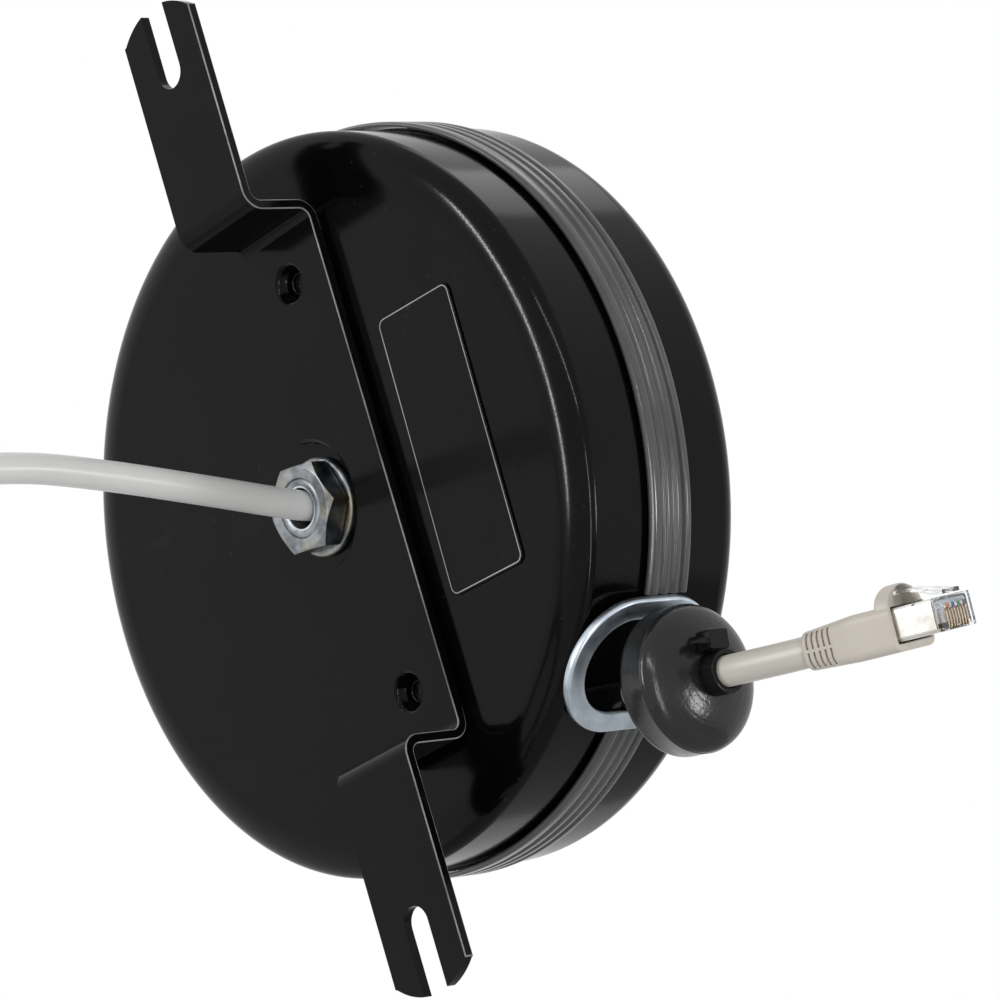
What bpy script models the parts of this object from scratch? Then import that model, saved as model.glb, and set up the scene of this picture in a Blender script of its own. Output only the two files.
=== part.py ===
"""Retractable network cord reel on a bent steel bracket.

The origin is where the reel's axle line crosses the plane that the bracket's two ears bolt
against. The axle lies along Y, the ears face +Y and the bracket's long side stands along Z.
Lengths are in metres.
"""

import math

import bmesh
import bpy
from mathutils import Matrix, Vector

for leftover in list(bpy.data.objects):
    bpy.data.objects.remove(leftover, do_unlink=True)

GAP = 0.0003  # left between pieces that touch

# Housing: two pressed steel dishes, mouth to mouth, with a trim band over the seam
FRONT_RADIUS = 0.0750
REAR_RADIUS = 0.0755
SHELL_WALL = 0.0012
FACE_Y = -0.0186
SEAM_Y = -0.0400
REAR_Y = -0.0613
FRONT_SHOULDER = (0.0080, 0.0038)  # reach across the face, and down the side
REAR_SHOULDER = (0.0062, 0.0056)
SHELL_STEPS = 52
BAND_RADIUS = 0.0768
BAND_FRONT_Y = -0.0352
BAND_REAR_Y = -0.0462
BAND_OPENING = math.radians(20.8)  # left open for the outlet ring

# Bracket: one strip, bent four times
STRIP_CENTRE_X = -0.01243
STRIP_WIDTH = 0.0221
STRIP_THICKNESS = 0.0020
STRIP_Y = -0.0154  # outer face of the middle run
RISER_Z = 0.0549  # inner face of each upright
BEND_OUTER = 0.0040
EAR_APEX_Z = 0.1036
EAR_END_RADIUS = 0.0161
SLOT_WIDTH = 0.0072
SLOT_BOTTOM_Z = 0.0861
NOTCH_RADIUS = 0.0130
RIVET_X = -0.0119
RIVET_Z = 0.0434
DIMPLE_RADIUS = 0.0034
RIVET_BORE = 0.0018
RIVET_RADIUS = 0.0024

# Axle: hollow, threaded at the front, with its nut and washer
AXLE_RADIUS = 0.0059
AXLE_BORE = 0.00415
AXLE_FRONT_Y = -0.0123
AXLE_REAR_Y = -0.0598
NUT_ACROSS_FLATS = 0.0170
NUT_TURN = math.radians(20.5)
WASHER_RADIUS = 0.0100

# Outlet: a flat ring with round ends, tangent to the housing
OUTLET_TURN = math.radians(45.0)  # from straight down towards -X
OUTLET_PLANE = 0.0776  # the ring's outer face, from the axle
OUTLET_THICKNESS = 0.0018
OUTLET_Y = -0.0363
OUTLET_LENGTH = 0.0368
OUTLET_WIDTH = 0.0281
OUTLET_BAND = 0.0043

# Working cord: leaves the drum at a tangent
CORD_DIAMETER = 0.0061
CORD_Y = -0.0375
CORD_TURN = math.radians(79.6)  # from straight down towards -X
WOUND_RADIUS = 0.04885  # centre of the outer layer
STOP_RADIUS = 0.0144
STOP_FRONT = 0.0768  # distances along the cord from the drum's tangent point
STOP_THICKNESS = 0.0067
STOP_CROWN = 0.0055  # how far its domed front rises
TIE_AT = 0.0843

# Drum and spring
HUB_RADIUS = 0.0315
HUB_WALL = 0.0022
FLANGE_RADIUS = 0.0630
WINDING_WIDTH = 0.0260
WEB_Y = -0.0340

# Plug and boot, in the plug's own axes: out along the cord, across, and up to the latch
BOOT_LENGTH = 0.0220
BOOT_NECK = (0.0092, -0.0037, 0.0037)  # width, bottom and top
BOOT_MOUTH = (0.0140, -0.0042, 0.0046)
PLUG_WIDTH = 0.0117
PLUG_HEIGHT = 0.0064
PLUG_LIFT = 0.0008  # the plug sits above the boot's axis
PLUG_END = 0.0319
SHIELD_END = 0.0303
SHEET_WALL = 0.00035
HOOD_LENGTH = 0.0034
HOOD_OUTER = (0.0063, 0.0045)  # half width and height
HOOD_INNER = (0.00395, 0.0038)
HOOD_DEPTH = 0.0026
HOOD_BASE = 0.0040

# Input lead: out of the axle's bore, over and down, and wound into a coil that hangs
LEAD_Y = 0.1100  # the coil's first layer
COIL_CENTRE = (0.0320, -0.0720)  # x and z
COIL_OUTER = 0.0390
COIL_PITCH = 0.0067
COIL_TURNS = 3.25
COIL_START = math.radians(-45)

LABEL_SIZE = (0.0222, 0.0578)
LABEL_CENTRE = (-0.0407, -0.0016)
LABEL_TILT = math.radians(-1.5)


def finish(name, table):
    """One material for a sub-part, from its finish's colour, roughness and metallic value."""
    colour, roughness, metallic = table
    made = bpy.data.materials.new(name)
    made.use_nodes = True
    shader = made.node_tree.nodes["Principled BSDF"]
    shader.inputs["Base Color"].default_value = (*colour, 1.0)
    shader.inputs["Roughness"].default_value = roughness
    shader.inputs["Metallic"].default_value = metallic
    return made


SATIN_BLACK = ((0.012, 0.012, 0.013), 0.38, 0.0)
TRIM_GREY = ((0.085, 0.085, 0.085), 0.55, 0.0)
ZINC = ((0.62, 0.66, 0.70), 0.32, 1.0)
STEEL = ((0.42, 0.42, 0.43), 0.40, 1.0)
SPRING_STEEL = ((0.16, 0.17, 0.20), 0.30, 1.0)
RUBBER = ((0.022, 0.022, 0.022), 0.62, 0.0)
TIE_BLACK = ((0.010, 0.010, 0.011), 0.35, 0.0)
CORD_GREY = ((0.62, 0.59, 0.52), 0.48, 0.0)
BOOT_GREY = ((0.52, 0.48, 0.42), 0.55, 0.0)
CLEAR = ((0.80, 0.84, 0.86), 0.10, 0.0)
GOLD = ((0.78, 0.52, 0.20), 0.28, 1.0)
NYLON = ((0.060, 0.060, 0.065), 0.50, 0.0)
BRONZE = ((0.45, 0.27, 0.12), 0.38, 1.0)
LABEL_BLACK = ((0.008, 0.008, 0.009), 0.25, 0.0)


def make(name, bm, table, sharp=35):
    """Turns a bmesh into a named object with its own material."""
    bmesh.ops.remove_doubles(bm, verts=bm.verts, dist=1e-7)
    loose = [edge for edge in bm.edges if not edge.link_faces]
    bmesh.ops.delete(bm, geom=loose, context="EDGES")
    bmesh.ops.recalc_face_normals(bm, faces=bm.faces)
    mesh = bpy.data.meshes.new(name)
    bm.to_mesh(mesh)
    bm.free()
    mesh.shade_smooth()
    mesh.set_sharp_from_angle(angle=math.radians(sharp))
    piece = bpy.data.objects.new(name, mesh)
    bpy.context.scene.collection.objects.link(piece)
    if table:
        mesh.materials.append(finish(name, table))
    return piece


def skin(name, loops, table, ring=False, sharp=35):
    """A closed body through equal loops of points, joined end to end or capped."""
    bm = bmesh.new()
    rows = [[bm.verts.new(point) for point in loop] for loop in loops]
    count = len(rows)
    for i in range(count if ring else count - 1):
        near, far = rows[i], rows[(i + 1) % count]
        for j in range(len(near)):
            k = (j + 1) % len(near)
            bm.faces.new((near[j], near[k], far[k], far[j]))
    if not ring:
        bm.faces.new(rows[0][::-1])
        bm.faces.new(rows[-1])
    return make(name, bm, table, sharp)


def turned(name, outline, table, steps=32, place=None, sweep=None, sharp=35):
    """A body of revolution about Y from a closed outline of (radius, y)."""
    start, end = sweep or (0.0, 2 * math.pi)
    count = steps + 1 if sweep else steps
    loops = []
    for i in range(count):
        angle = start + (end - start) * i / steps
        around = (math.sin(angle), math.cos(angle))
        loop = [Vector((r * around[0], y, r * around[1])) for r, y in outline]
        loops.append([place @ p for p in loop] if place else loop)
    return skin(name, loops, table, ring=not sweep, sharp=sharp)


def extruded(name, outline, low, high, table, place, sharp=35):
    """An outline of (u, v) drawn out from low to high, then put in place."""
    loops = [[place @ Vector((u, v, w)) for u, v in outline] for w in (low, high)]
    return skin(name, loops, table, sharp=sharp)


def shape(piece, tool, operation="DIFFERENCE"):
    """Cuts or joins a piece with a tool body, which stays hidden."""
    tool.hide_render = True
    tool.display_type = "WIRE"
    change = piece.modifiers.new(tool.name, "BOOLEAN")
    change.operation = operation
    change.solver = "EXACT"
    change.object = tool
    return piece


def arc(centre, radius, start, end, count):
    """Points round a centre, both ends included, in degrees from the first axis."""
    points = []
    for i in range(count):
        angle = math.radians(start + (end - start) * i / (count - 1))
        points.append((centre[0] + radius * math.cos(angle), centre[1] + radius * math.sin(angle)))
    return points


def obround(length, width, count):
    """A slot outline with round ends, long along its first axis."""
    reach = (length - width) / 2
    return arc((reach, 0), width / 2, -90, 90, count) + arc((-reach, 0), width / 2, 90, 270, count)


def rounded_box(width, height, radius, count=3):
    """A rectangle's outline with round corners."""
    x, y = width / 2 - radius, height / 2 - radius
    corners = ((x, y, 0), (-x, y, 90), (-x, -y, 180), (x, -y, 270))
    return [p for cx, cy, turn in corners for p in arc((cx, cy), radius, turn, turn + 90, count)]


def axes_at(origin, first, second, third):
    """A placement from three axis directions."""
    spin = Matrix((first, second, third)).transposed().to_4x4()
    return Matrix.Translation(Vector(origin)) @ spin


ALONG_Y = axes_at((0, 0, 0), (1, 0, 0), (0, 0, 1), (0, 1, 0))  # outline in x and z, drawn along y

OUTLET_OUT = Vector((-math.sin(OUTLET_TURN), 0, -math.cos(OUTLET_TURN)))
OUTLET_ACROSS = Vector((-math.cos(OUTLET_TURN), 0, math.sin(OUTLET_TURN)))
OUTLET_PLACE = axes_at(Vector((0, OUTLET_Y, 0)), (0, 1, 0), OUTLET_ACROSS, OUTLET_OUT)

CORD_OUT = Vector((-math.sin(CORD_TURN), 0, -math.cos(CORD_TURN)))
CORD_UP = Vector((-math.cos(CORD_TURN), 0, math.sin(CORD_TURN)))
CORD_START = -CORD_UP * WOUND_RADIUS + Vector((0, CORD_Y, 0))
CORD_PLACE = axes_at(CORD_START, (0, 1, 0), CORD_UP, CORD_OUT)


def shoulder(radius, edge_y, reach, outward, count=5):
    """The rounded rim of a dish, from its side up to its face."""
    across, down = reach
    points = []
    for i in range(count):
        angle = math.radians(90 * i / (count - 1))
        r = radius - across + across * math.cos(angle)
        points.append((r, edge_y - outward * (down - down * math.sin(angle))))
    return points


def shell(name, radius, face_y, reach, hole, outward):
    """A dish: outward is +1 when its face looks along +Y."""
    mouth_y = SEAM_Y if outward > 0 else SEAM_Y - GAP
    outer = shoulder(radius, face_y, reach, outward)
    inner_reach = (reach[0] - SHELL_WALL * 0.4, reach[1] - SHELL_WALL * 0.4)
    inner = shoulder(radius - SHELL_WALL, face_y - outward * SHELL_WALL, inner_reach, outward, 3)
    outline = [(radius, mouth_y), *outer, (hole, face_y)]
    outline += [(hole, face_y - outward * SHELL_WALL), *inner[::-1], (radius - SHELL_WALL, mouth_y)]
    dish = turned(name, outline, SATIN_BLACK, SHELL_STEPS)
    opening = [(u - 0.0007, v) for u, v in obround(OUTLET_LENGTH - 0.0074, OUTLET_WIDTH - 0.0019, 9)]
    tool = extruded(name + "_outlet_tool", opening, 0.055, 0.085, None, OUTLET_PLACE)
    return shape(dish, tool)


def housing():
    front = shell("front_shell", FRONT_RADIUS, FACE_Y, FRONT_SHOULDER, AXLE_RADIUS + GAP, 1)
    for side in (1, -1):
        place = Matrix.Translation((RIVET_X, 0, side * RIVET_Z))
        hole = [(0, -0.015), (RIVET_RADIUS + GAP, -0.015), (RIVET_RADIUS + GAP, -0.022), (0, -0.022)]
        shape(front, turned("shell_rivet_tool", hole, None, 12, place))
    shell("rear_shell", REAR_RADIUS, REAR_Y, REAR_SHOULDER, 0.0024, -1)

    rib = 0.0006
    low = BAND_RADIUS - rib
    inner = REAR_RADIUS + GAP
    width = BAND_REAR_Y - BAND_FRONT_Y
    y = [BAND_FRONT_Y + width * share for share in (0, 0.26, 0.34, 0.5, 0.66, 0.74, 1)]
    outline = [(inner, y[0]), (BAND_RADIUS - 0.0004, y[0])]
    outline += [(BAND_RADIUS, y[0] - 0.0005), (BAND_RADIUS, y[1])]
    outline += [(low, y[2]), (BAND_RADIUS, y[3]), (low, y[4]), (BAND_RADIUS, y[5])]
    outline += [(BAND_RADIUS, y[6] + 0.0005), (BAND_RADIUS - 0.0004, y[6]), (inner, y[6])]
    middle = math.pi + OUTLET_TURN
    gap = BAND_OPENING / 2
    turned("trim_band", outline, TRIM_GREY, 48, sweep=(middle + gap, middle - gap + 2 * math.pi))


def bracket():
    back_y = STRIP_Y - STRIP_THICKNESS
    inner_bend = BEND_OUTER - STRIP_THICKNESS
    top = EAR_APEX_Z + 0.001
    ear = (-BEND_OUTER, RISER_Z + BEND_OUTER)
    foot = (STRIP_Y + inner_bend, RISER_Z - inner_bend)
    front = [(0, top), *arc(ear, BEND_OUTER, 0, -90, 5), *arc(foot, inner_bend, 90, 180, 4)]
    back = [(-STRIP_THICKNESS, top), *arc(ear, inner_bend, 0, -90, 4), *arc(foot, BEND_OUTER, 90, 180, 5)]
    side = front + [(y, -z) for y, z in front[::-1]] + [(y, -z) for y, z in back] + back[::-1]
    right = STRIP_CENTRE_X - STRIP_WIDTH / 2
    left = STRIP_CENTRE_X + STRIP_WIDTH / 2
    place = axes_at((0, 0, 0), (0, 1, 0), (0, 0, 1), (1, 0, 0))
    strip = extruded("mounting_bracket", side, right, left, SATIN_BLACK, place)

    def ear_end():
        """The upper ear's rounded end with its open slot, from the left edge to the right."""
        end_centre = EAR_APEX_Z - EAR_END_RADIUS
        reach = math.degrees(math.asin(STRIP_WIDTH / 2 / EAR_END_RADIUS))
        lip = math.degrees(math.asin(SLOT_WIDTH / 2 / EAR_END_RADIUS))
        centre = (STRIP_CENTRE_X, end_centre)
        slot_centre = (STRIP_CENTRE_X, SLOT_BOTTOM_Z + SLOT_WIDTH / 2)
        return (
            arc(centre, EAR_END_RADIUS, 90 - reach, 90 - lip, 5)
            + arc(slot_centre, SLOT_WIDTH / 2, 0, -180, 9)
            + arc(centre, EAR_END_RADIUS, 90 + lip, 90 + reach, 5)
        )

    end = ear_end()
    plan = end + [(x, -z) for x, z in end[::-1]]
    low = math.degrees(math.acos(left / -NOTCH_RADIUS)) - 90
    notch = arc((0, 0), NOTCH_RADIUS, 270 - low, 90 + low, 17)
    outline = plan + notch
    shape(strip, extruded("bracket_plan_tool", outline, -0.022, 0.002, None, ALONG_Y), "INTERSECT")

    for side_z in (1, -1):
        place = Matrix.Translation((RIVET_X, 0, side_z * RIVET_Z))
        seat = FACE_Y + GAP
        bump = [(0, STRIP_Y - 0.0010), (0.0062, STRIP_Y - 0.0010), (0.0062, back_y)]
        bump += [(0.0048, seat), (0, seat)]
        shape(strip, turned("dimple_seat_tool", bump, None, 20, place), "UNION")
        funnel = [(0, STRIP_Y + 0.001), (DIMPLE_RADIUS + 0.0007, STRIP_Y + 0.001), (DIMPLE_RADIUS, STRIP_Y)]
        funnel += [(0.0031, STRIP_Y - 0.0007), (0.0028, STRIP_Y - 0.0018)]
        funnel += [(RIVET_RADIUS + GAP, STRIP_Y - 0.0022)]
        funnel += [(RIVET_RADIUS + GAP, -0.021), (0, -0.021)]
        shape(strip, turned("dimple_tool", funnel, None, 20, place))
        rivet = [(RIVET_BORE, -0.0215), (0.0036, -0.0215), (0.0036, FACE_Y - SHELL_WALL - GAP)]
        rivet += [(RIVET_RADIUS, FACE_Y - SHELL_WALL - GAP), (RIVET_RADIUS, -0.0168), (RIVET_BORE, -0.0164)]
        where = "upper" if side_z > 0 else "lower"
        turned("bracket_rivet_" + where, rivet, SATIN_BLACK, 16, place)


def axle():
    bore_end = -0.0300
    clip_y = -0.0550
    shell_back = FACE_Y - SHELL_WALL - GAP
    outline = [(AXLE_BORE, AXLE_FRONT_Y), (AXLE_RADIUS - 0.0005, AXLE_FRONT_Y)]
    outline += [(AXLE_RADIUS, AXLE_FRONT_Y - 0.0005), (AXLE_RADIUS, shell_back), (0.0090, shell_back)]
    outline += [(0.0090, shell_back - 0.0015), (AXLE_RADIUS, shell_back - 0.0015), (AXLE_RADIUS, clip_y)]
    outline += [(0.0050, clip_y), (0.0050, clip_y - 0.0012), (AXLE_RADIUS, clip_y - 0.0012)]
    outline += [(AXLE_RADIUS, AXLE_REAR_Y), (0.0021, AXLE_REAR_Y), (0.0021, -0.0505), (0, -0.0505)]
    outline += [(0, bore_end), (AXLE_BORE, bore_end)]
    turned("hollow_axle", outline, ZINC, 28)
    clip = [(0.0053, clip_y - GAP), (0.0082, clip_y - GAP)]
    clip += [(0.0082, clip_y - 0.0009), (0.0053, clip_y - 0.0009)]
    turned("retaining_clip", clip, STEEL, 18, sweep=(math.radians(25), math.radians(335)))

    washer = [(AXLE_RADIUS + GAP, FACE_Y + 0.0016), (0.0086, FACE_Y + 0.0016)]
    washer += [(WASHER_RADIUS, FACE_Y + 0.0010)]
    washer += [(WASHER_RADIUS, FACE_Y + GAP), (AXLE_RADIUS + GAP, FACE_Y + GAP)]
    turned("axle_washer", washer, ZINC, 32)

    corner = NUT_ACROSS_FLATS / 2 / math.cos(math.radians(30))
    back_y, front_y = FACE_Y + 0.0016 + GAP, -0.0121
    bevel = 0.0007
    hole = AXLE_RADIUS + GAP
    loops = []
    for i in range(24):
        angle = NUT_TURN + 2 * math.pi * i / 24
        flat = (i % 4) * 15 - (60 if i % 4 > 2 else 0)
        reach = corner * math.cos(math.radians(30)) / math.cos(math.radians(abs(flat) - 30))
        crown = min(reach, NUT_ACROSS_FLATS / 2 * 0.99)
        outline = [(hole, back_y), (reach, back_y), (reach, front_y - bevel)]
        outline += [(crown, front_y), (hole, front_y)]
        loops.append([(r * math.sin(angle), y, r * math.cos(angle)) for r, y in outline])
    skin("axle_nut", loops, ZINC, ring=True, sharp=25)

    head_y = REAR_Y - GAP
    bolt = [(0, head_y - 0.0026), (0.0034, head_y - 0.0026), (0.0050, head_y - 0.0014), (0.0053, head_y)]
    bolt += [(0.0018, head_y), (0.0018, -0.0520), (0, -0.0520)]
    turned("rear_bolt", bolt, ZINC, 18)


def outlet():
    outer = obround(OUTLET_LENGTH, OUTLET_WIDTH, 13)
    inner = obround(OUTLET_LENGTH - 2 * OUTLET_BAND, OUTLET_WIDTH - 2 * OUTLET_BAND, 13)
    top, low = OUTLET_PLANE, OUTLET_PLANE - OUTLET_THICKNESS
    soft = 0.0005
    loops = []
    for (u, v), (p, q) in zip(outer, inner):
        across = Vector((p - u, q - v)).normalized() * soft
        outline = [(u, v, low), (u, v, top - soft), (u + across.x, v + across.y, top)]
        outline += [(p - across.x, q - across.y, top), (p, q, top - soft)]
        outline += [(p - 3 * across.x, q - 3 * across.y, low)]
        loops.append([OUTLET_PLACE @ Vector(point) for point in outline])
    skin("outlet_ring", loops, ZINC, ring=True)


def label():
    turn = Matrix.Rotation(LABEL_TILT, 4, "Y")
    place = Matrix.Translation((LABEL_CENTRE[0], 0, LABEL_CENTRE[1])) @ turn @ ALONG_Y
    outline = rounded_box(*LABEL_SIZE, 0.0020)
    extruded("label_plate", outline, FACE_Y + GAP, FACE_Y + 0.0007, LABEL_BLACK, place)


def drum():
    front_y = CORD_Y + WINDING_WIDTH / 2
    rear_y = CORD_Y - WINDING_WIDTH / 2
    bush = 0.0079
    inner = HUB_RADIUS - HUB_WALL
    web_back = WEB_Y - 0.0022
    outline = [(HUB_RADIUS, front_y - GAP), (HUB_RADIUS, rear_y + GAP)]
    outline += [(inner, rear_y + GAP), (inner, web_back)]
    outline += [(0.0105, web_back), (0.0105, WEB_Y - 0.0040), (bush, WEB_Y - 0.0040), (bush, WEB_Y)]
    outline += [(inner, WEB_Y), (inner, front_y - GAP)]
    turned("drum_hub", outline, NYLON, 32)
    for name, y, side in (("drum_front_flange", front_y, 1), ("drum_rear_flange", rear_y, -1)):
        hole = 0.0290 if side > 0 else 0.0300
        far_y = y + side * 0.0012
        plate = [(FLANGE_RADIUS, y), (FLANGE_RADIUS, far_y), (hole, far_y), (hole, y)]
        turned(name, plate, NYLON, 40)
    edge = WOUND_RADIUS - CORD_DIAMETER / 2 - GAP
    low = HUB_RADIUS + GAP
    wound = [(low, front_y - GAP), (edge - 0.002, front_y - GAP)]
    wound += [(edge, front_y - 0.002), (edge, rear_y + 0.002)]
    wound += [(edge - 0.002, rear_y + GAP), (low, rear_y + GAP)]
    turned("cord_winding_core", wound, CORD_GREY, 40)
    outer_layer(front_y)
    cover_y = rear_y + 0.0005
    cover = [(inner - GAP, cover_y), (inner - GAP, cover_y - 0.0014), (0.0105, cover_y - 0.0014)]
    cover += [(0.0105, cover_y - 0.0034), (bush, cover_y - 0.0034), (bush, cover_y)]
    turned("spring_cover", cover, STEEL, 28)
    for name, y in (("front_bush", WEB_Y), ("rear_bush", cover_y)):
        bore = AXLE_RADIUS + 0.00009
        sleeve = [(bush - GAP, y), (bush - GAP, y - 0.0034), (bore, y - 0.0034), (bore, y)]
        turned(name, sleeve, BRONZE, 28)
    contact_disc()
    power_spring()
    ratchet(cover_y - 0.0014 - GAP)


def outer_layer(front_y):
    """The last layer, wound from the front flange to the middle, where the cord leaves."""
    pitch, per_turn = 0.0067, 24
    first_y = front_y - GAP - CORD_DIAMETER / 2 - 0.0002
    turns = (first_y - CORD_Y) / pitch
    count = round(turns * per_turn)
    leave = math.atan2(CORD_START.x, CORD_START.z)
    route = []
    for i in range(count + 1):
        angle = leave - 2 * math.pi * (count - i) / per_turn
        y = CORD_Y + pitch * (count - i) / per_turn
        route.append(Vector((WOUND_RADIUS * math.sin(angle), y, WOUND_RADIUS * math.cos(angle))))
    first = (route[1] - route[0]).normalized() * CORD_DIAMETER
    route = [route[0] - first, *route, route[-1] + CORD_OUT * CORD_DIAMETER]
    tube("cord_outer_layer", route, CORD_DIAMETER, CORD_GREY, 1)
    print("least gap in the outer layer", round(least_gap(route, CORD_DIAMETER, 12), 5))


def contact_disc():
    """The insulating disc in the hub's mouth, its eight tracks and the fixed brush block."""
    back_y = WEB_Y + GAP
    front_y = back_y + 0.0016
    disc = [(0.0270, back_y), (0.0270, front_y), (0.0080, front_y), (0.0080, back_y)]
    turned("contact_disc", disc, TRIM_GREY, 28)
    pitch = 0.0021
    for i in range(8):
        middle = 0.0108 + pitch * i
        y = front_y + GAP
        track = [(middle - 0.0006, y), (middle - 0.0006, y + 0.0005)]
        track += [(middle + 0.0006, y + 0.0005), (middle + 0.0006, y)]
        turned(f"contact_track_{i + 1}", track, GOLD, 16)
    block_front = FACE_Y - SHELL_WALL - GAP
    comb = [(0.0095, block_front - 0.0018), (0.0095, block_front), (0.0275, block_front)]
    comb += [(0.0275, block_front - 0.0060)]
    tip_y = front_y + 0.0012
    for i in reversed(range(8)):
        middle = 0.0108 + pitch * i
        comb += [(middle + 0.0005, block_front - 0.0060), (middle + 0.0005, tip_y)]
        comb += [(middle - 0.0005, tip_y), (middle - 0.0005, block_front - 0.0060)]
    comb += [(0.0095, block_front - 0.0060)]
    place = axes_at((0, 0, 0), (0, 0, 1), (0, 1, 0), (-1, 0, 0))
    extruded("brush_block", comb, -0.0035, 0.0035, NYLON, place)


def power_spring():
    """A flat strip wound in a spiral between the axle and the hub."""
    turns, per_turn = 6, 18
    start, end = 0.0068, 0.0285
    thick, top, low = 0.0006, -0.0389, -0.0489
    loops = []
    for i in range(turns * per_turn + 1):
        angle = 2 * math.pi * i / per_turn
        r = start + (end - start) * i / (turns * per_turn)
        around = (math.sin(angle), math.cos(angle))
        outline = [(r, top), (r + thick, top), (r + thick, low), (r, low)]
        loops.append([(s * around[0], y, s * around[1]) for s, y in outline])
    skin("power_spring", loops, SPRING_STEEL)


def ratchet(front_y):
    teeth, tip, root, hole = 12, 0.0260, 0.0228, 0.0140
    back_y = front_y - 0.0022
    loops = []
    for i in range(teeth):
        for share, r in ((0.0, root), (0.5, (tip + root) / 2), (0.94, tip)):
            angle = 2 * math.pi * (i + share) / teeth
            outline = [(hole, front_y), (r, front_y), (r, back_y), (hole, back_y)]
            loops.append([(s * math.sin(angle), y, s * math.cos(angle)) for s, y in outline])
    skin("ratchet_wheel", loops, STEEL, ring=True)

    pivot = Vector((0.0, 0.0, 0.0365))
    wheel_clear = tip + 0.0008
    nose = Vector((-0.01265, 0, 0.02375)) * (wheel_clear / 0.0269)
    along = (nose - pivot).normalized()
    across = Vector((along.z, 0, -along.x))
    reach = (nose - pivot).length
    outline = arc((0, 0), 0.0042, 60, 300, 9) + [(reach, -0.0006), (reach, 0.0012)]
    place = axes_at(pivot, along, across, (0, 1, 0))
    pawl = extruded("pawl", outline, back_y + 0.0001, front_y - 0.0004, STEEL, place)
    hole = [(0, 0.0), (0.00209, 0.0), (0.00209, -0.0600), (0, -0.0600)]
    shape(pawl, turned("pawl_hole_tool", hole, None, 16, Matrix.Translation(pivot)))
    pawl.data.transform(Matrix.Translation(-pivot))
    pawl.location = pivot
    shell_in = REAR_Y + SHELL_WALL
    pin = [(0, front_y - 0.0003), (0.0020, front_y - 0.0003), (0.0020, shell_in + 0.0010 + GAP)]
    pin += [(0.0045, shell_in + 0.0010 + GAP), (0.0045, shell_in + GAP), (0, shell_in + GAP)]
    turned("pawl_pin", pin, STEEL, 16, Matrix.Translation(pivot))
    loops, per_loop, wire = 3, 10, 0.0006
    route = []
    for i in range(loops * per_loop + 1):
        angle = 2 * math.pi * i / per_loop
        y = back_y - 0.0006 - i * 0.00085 / per_loop
        route.append(pivot + Vector((0.0029 * math.sin(angle), y, 0.0029 * math.cos(angle))))
    straight = (route[0] - route[1]).normalized()
    straight.y = 0
    route = [route[0] + straight * 0.0035, *route, route[-1] - straight * 0.0035]
    tube("pawl_spring", route, wire, SPRING_STEEL, 1)


def tube(name, route, diameter, table, resolution=2):
    """A round cord along its points, with closed ends."""
    curve = bpy.data.curves.new(name, "CURVE")
    curve.dimensions = "3D"
    curve.bevel_depth = diameter / 2
    curve.bevel_resolution = resolution
    curve.use_fill_caps = True
    curve.render_resolution_u = 0
    line = curve.splines.new("POLY")
    line.points.add(len(route) - 1)
    for spot, point in zip(line.points, route):
        spot.co = (*point, 1.0)
        spot.tilt = 0.0
    line.use_smooth = True
    curve.materials.append(finish(name, table))
    cord = bpy.data.objects.new(name, curve)
    bpy.context.scene.collection.objects.link(cord)
    return cord


def smooth_route(knots, spacing):
    """Evenly spaced points on one smooth curve through the knots."""
    knots = [Vector(k) for k in knots]
    ends = [2 * knots[0] - knots[1], *knots, 2 * knots[-1] - knots[-2]]
    fine = []
    for before, a, b, after in zip(ends, ends[1:], ends[2:], ends[3:]):
        span = (b - a).length
        enter = (b - before) / ((a - before).length + span) * span
        leave = (after - a) / ((after - b).length + span) * span
        for i in range(20):
            t = i / 20
            fine.append(
                a * (2 * t**3 - 3 * t**2 + 1)
                + enter * (t**3 - 2 * t**2 + t)
                + b * (3 * t**2 - 2 * t**3)
                + leave * (t**3 - t**2)
            )
    fine.append(knots[-1])
    lengths = [0.0]
    for a, b in zip(fine, fine[1:]):
        lengths.append(lengths[-1] + (b - a).length)
    count = max(2, round(lengths[-1] / spacing))
    points, at = [], 0
    for i in range(count + 1):
        want = lengths[-1] * i / count
        while at < len(fine) - 2 and lengths[at + 1] < want:
            at += 1
        share = (want - lengths[at]) / max(lengths[at + 1] - lengths[at], 1e-9)
        points.append(fine[at].lerp(fine[at + 1], min(max(share, 0.0), 1.0)))
    return points


def length_of(route):
    return sum((b - a).length for a, b in zip(route, route[1:]))


def half_ellipse(reach, height, base, count):
    """An arch outline standing on its base line."""
    return [(reach * u, base + height * v) for u, v in arc((0, 0), 1, 0, 180, count)]


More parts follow.
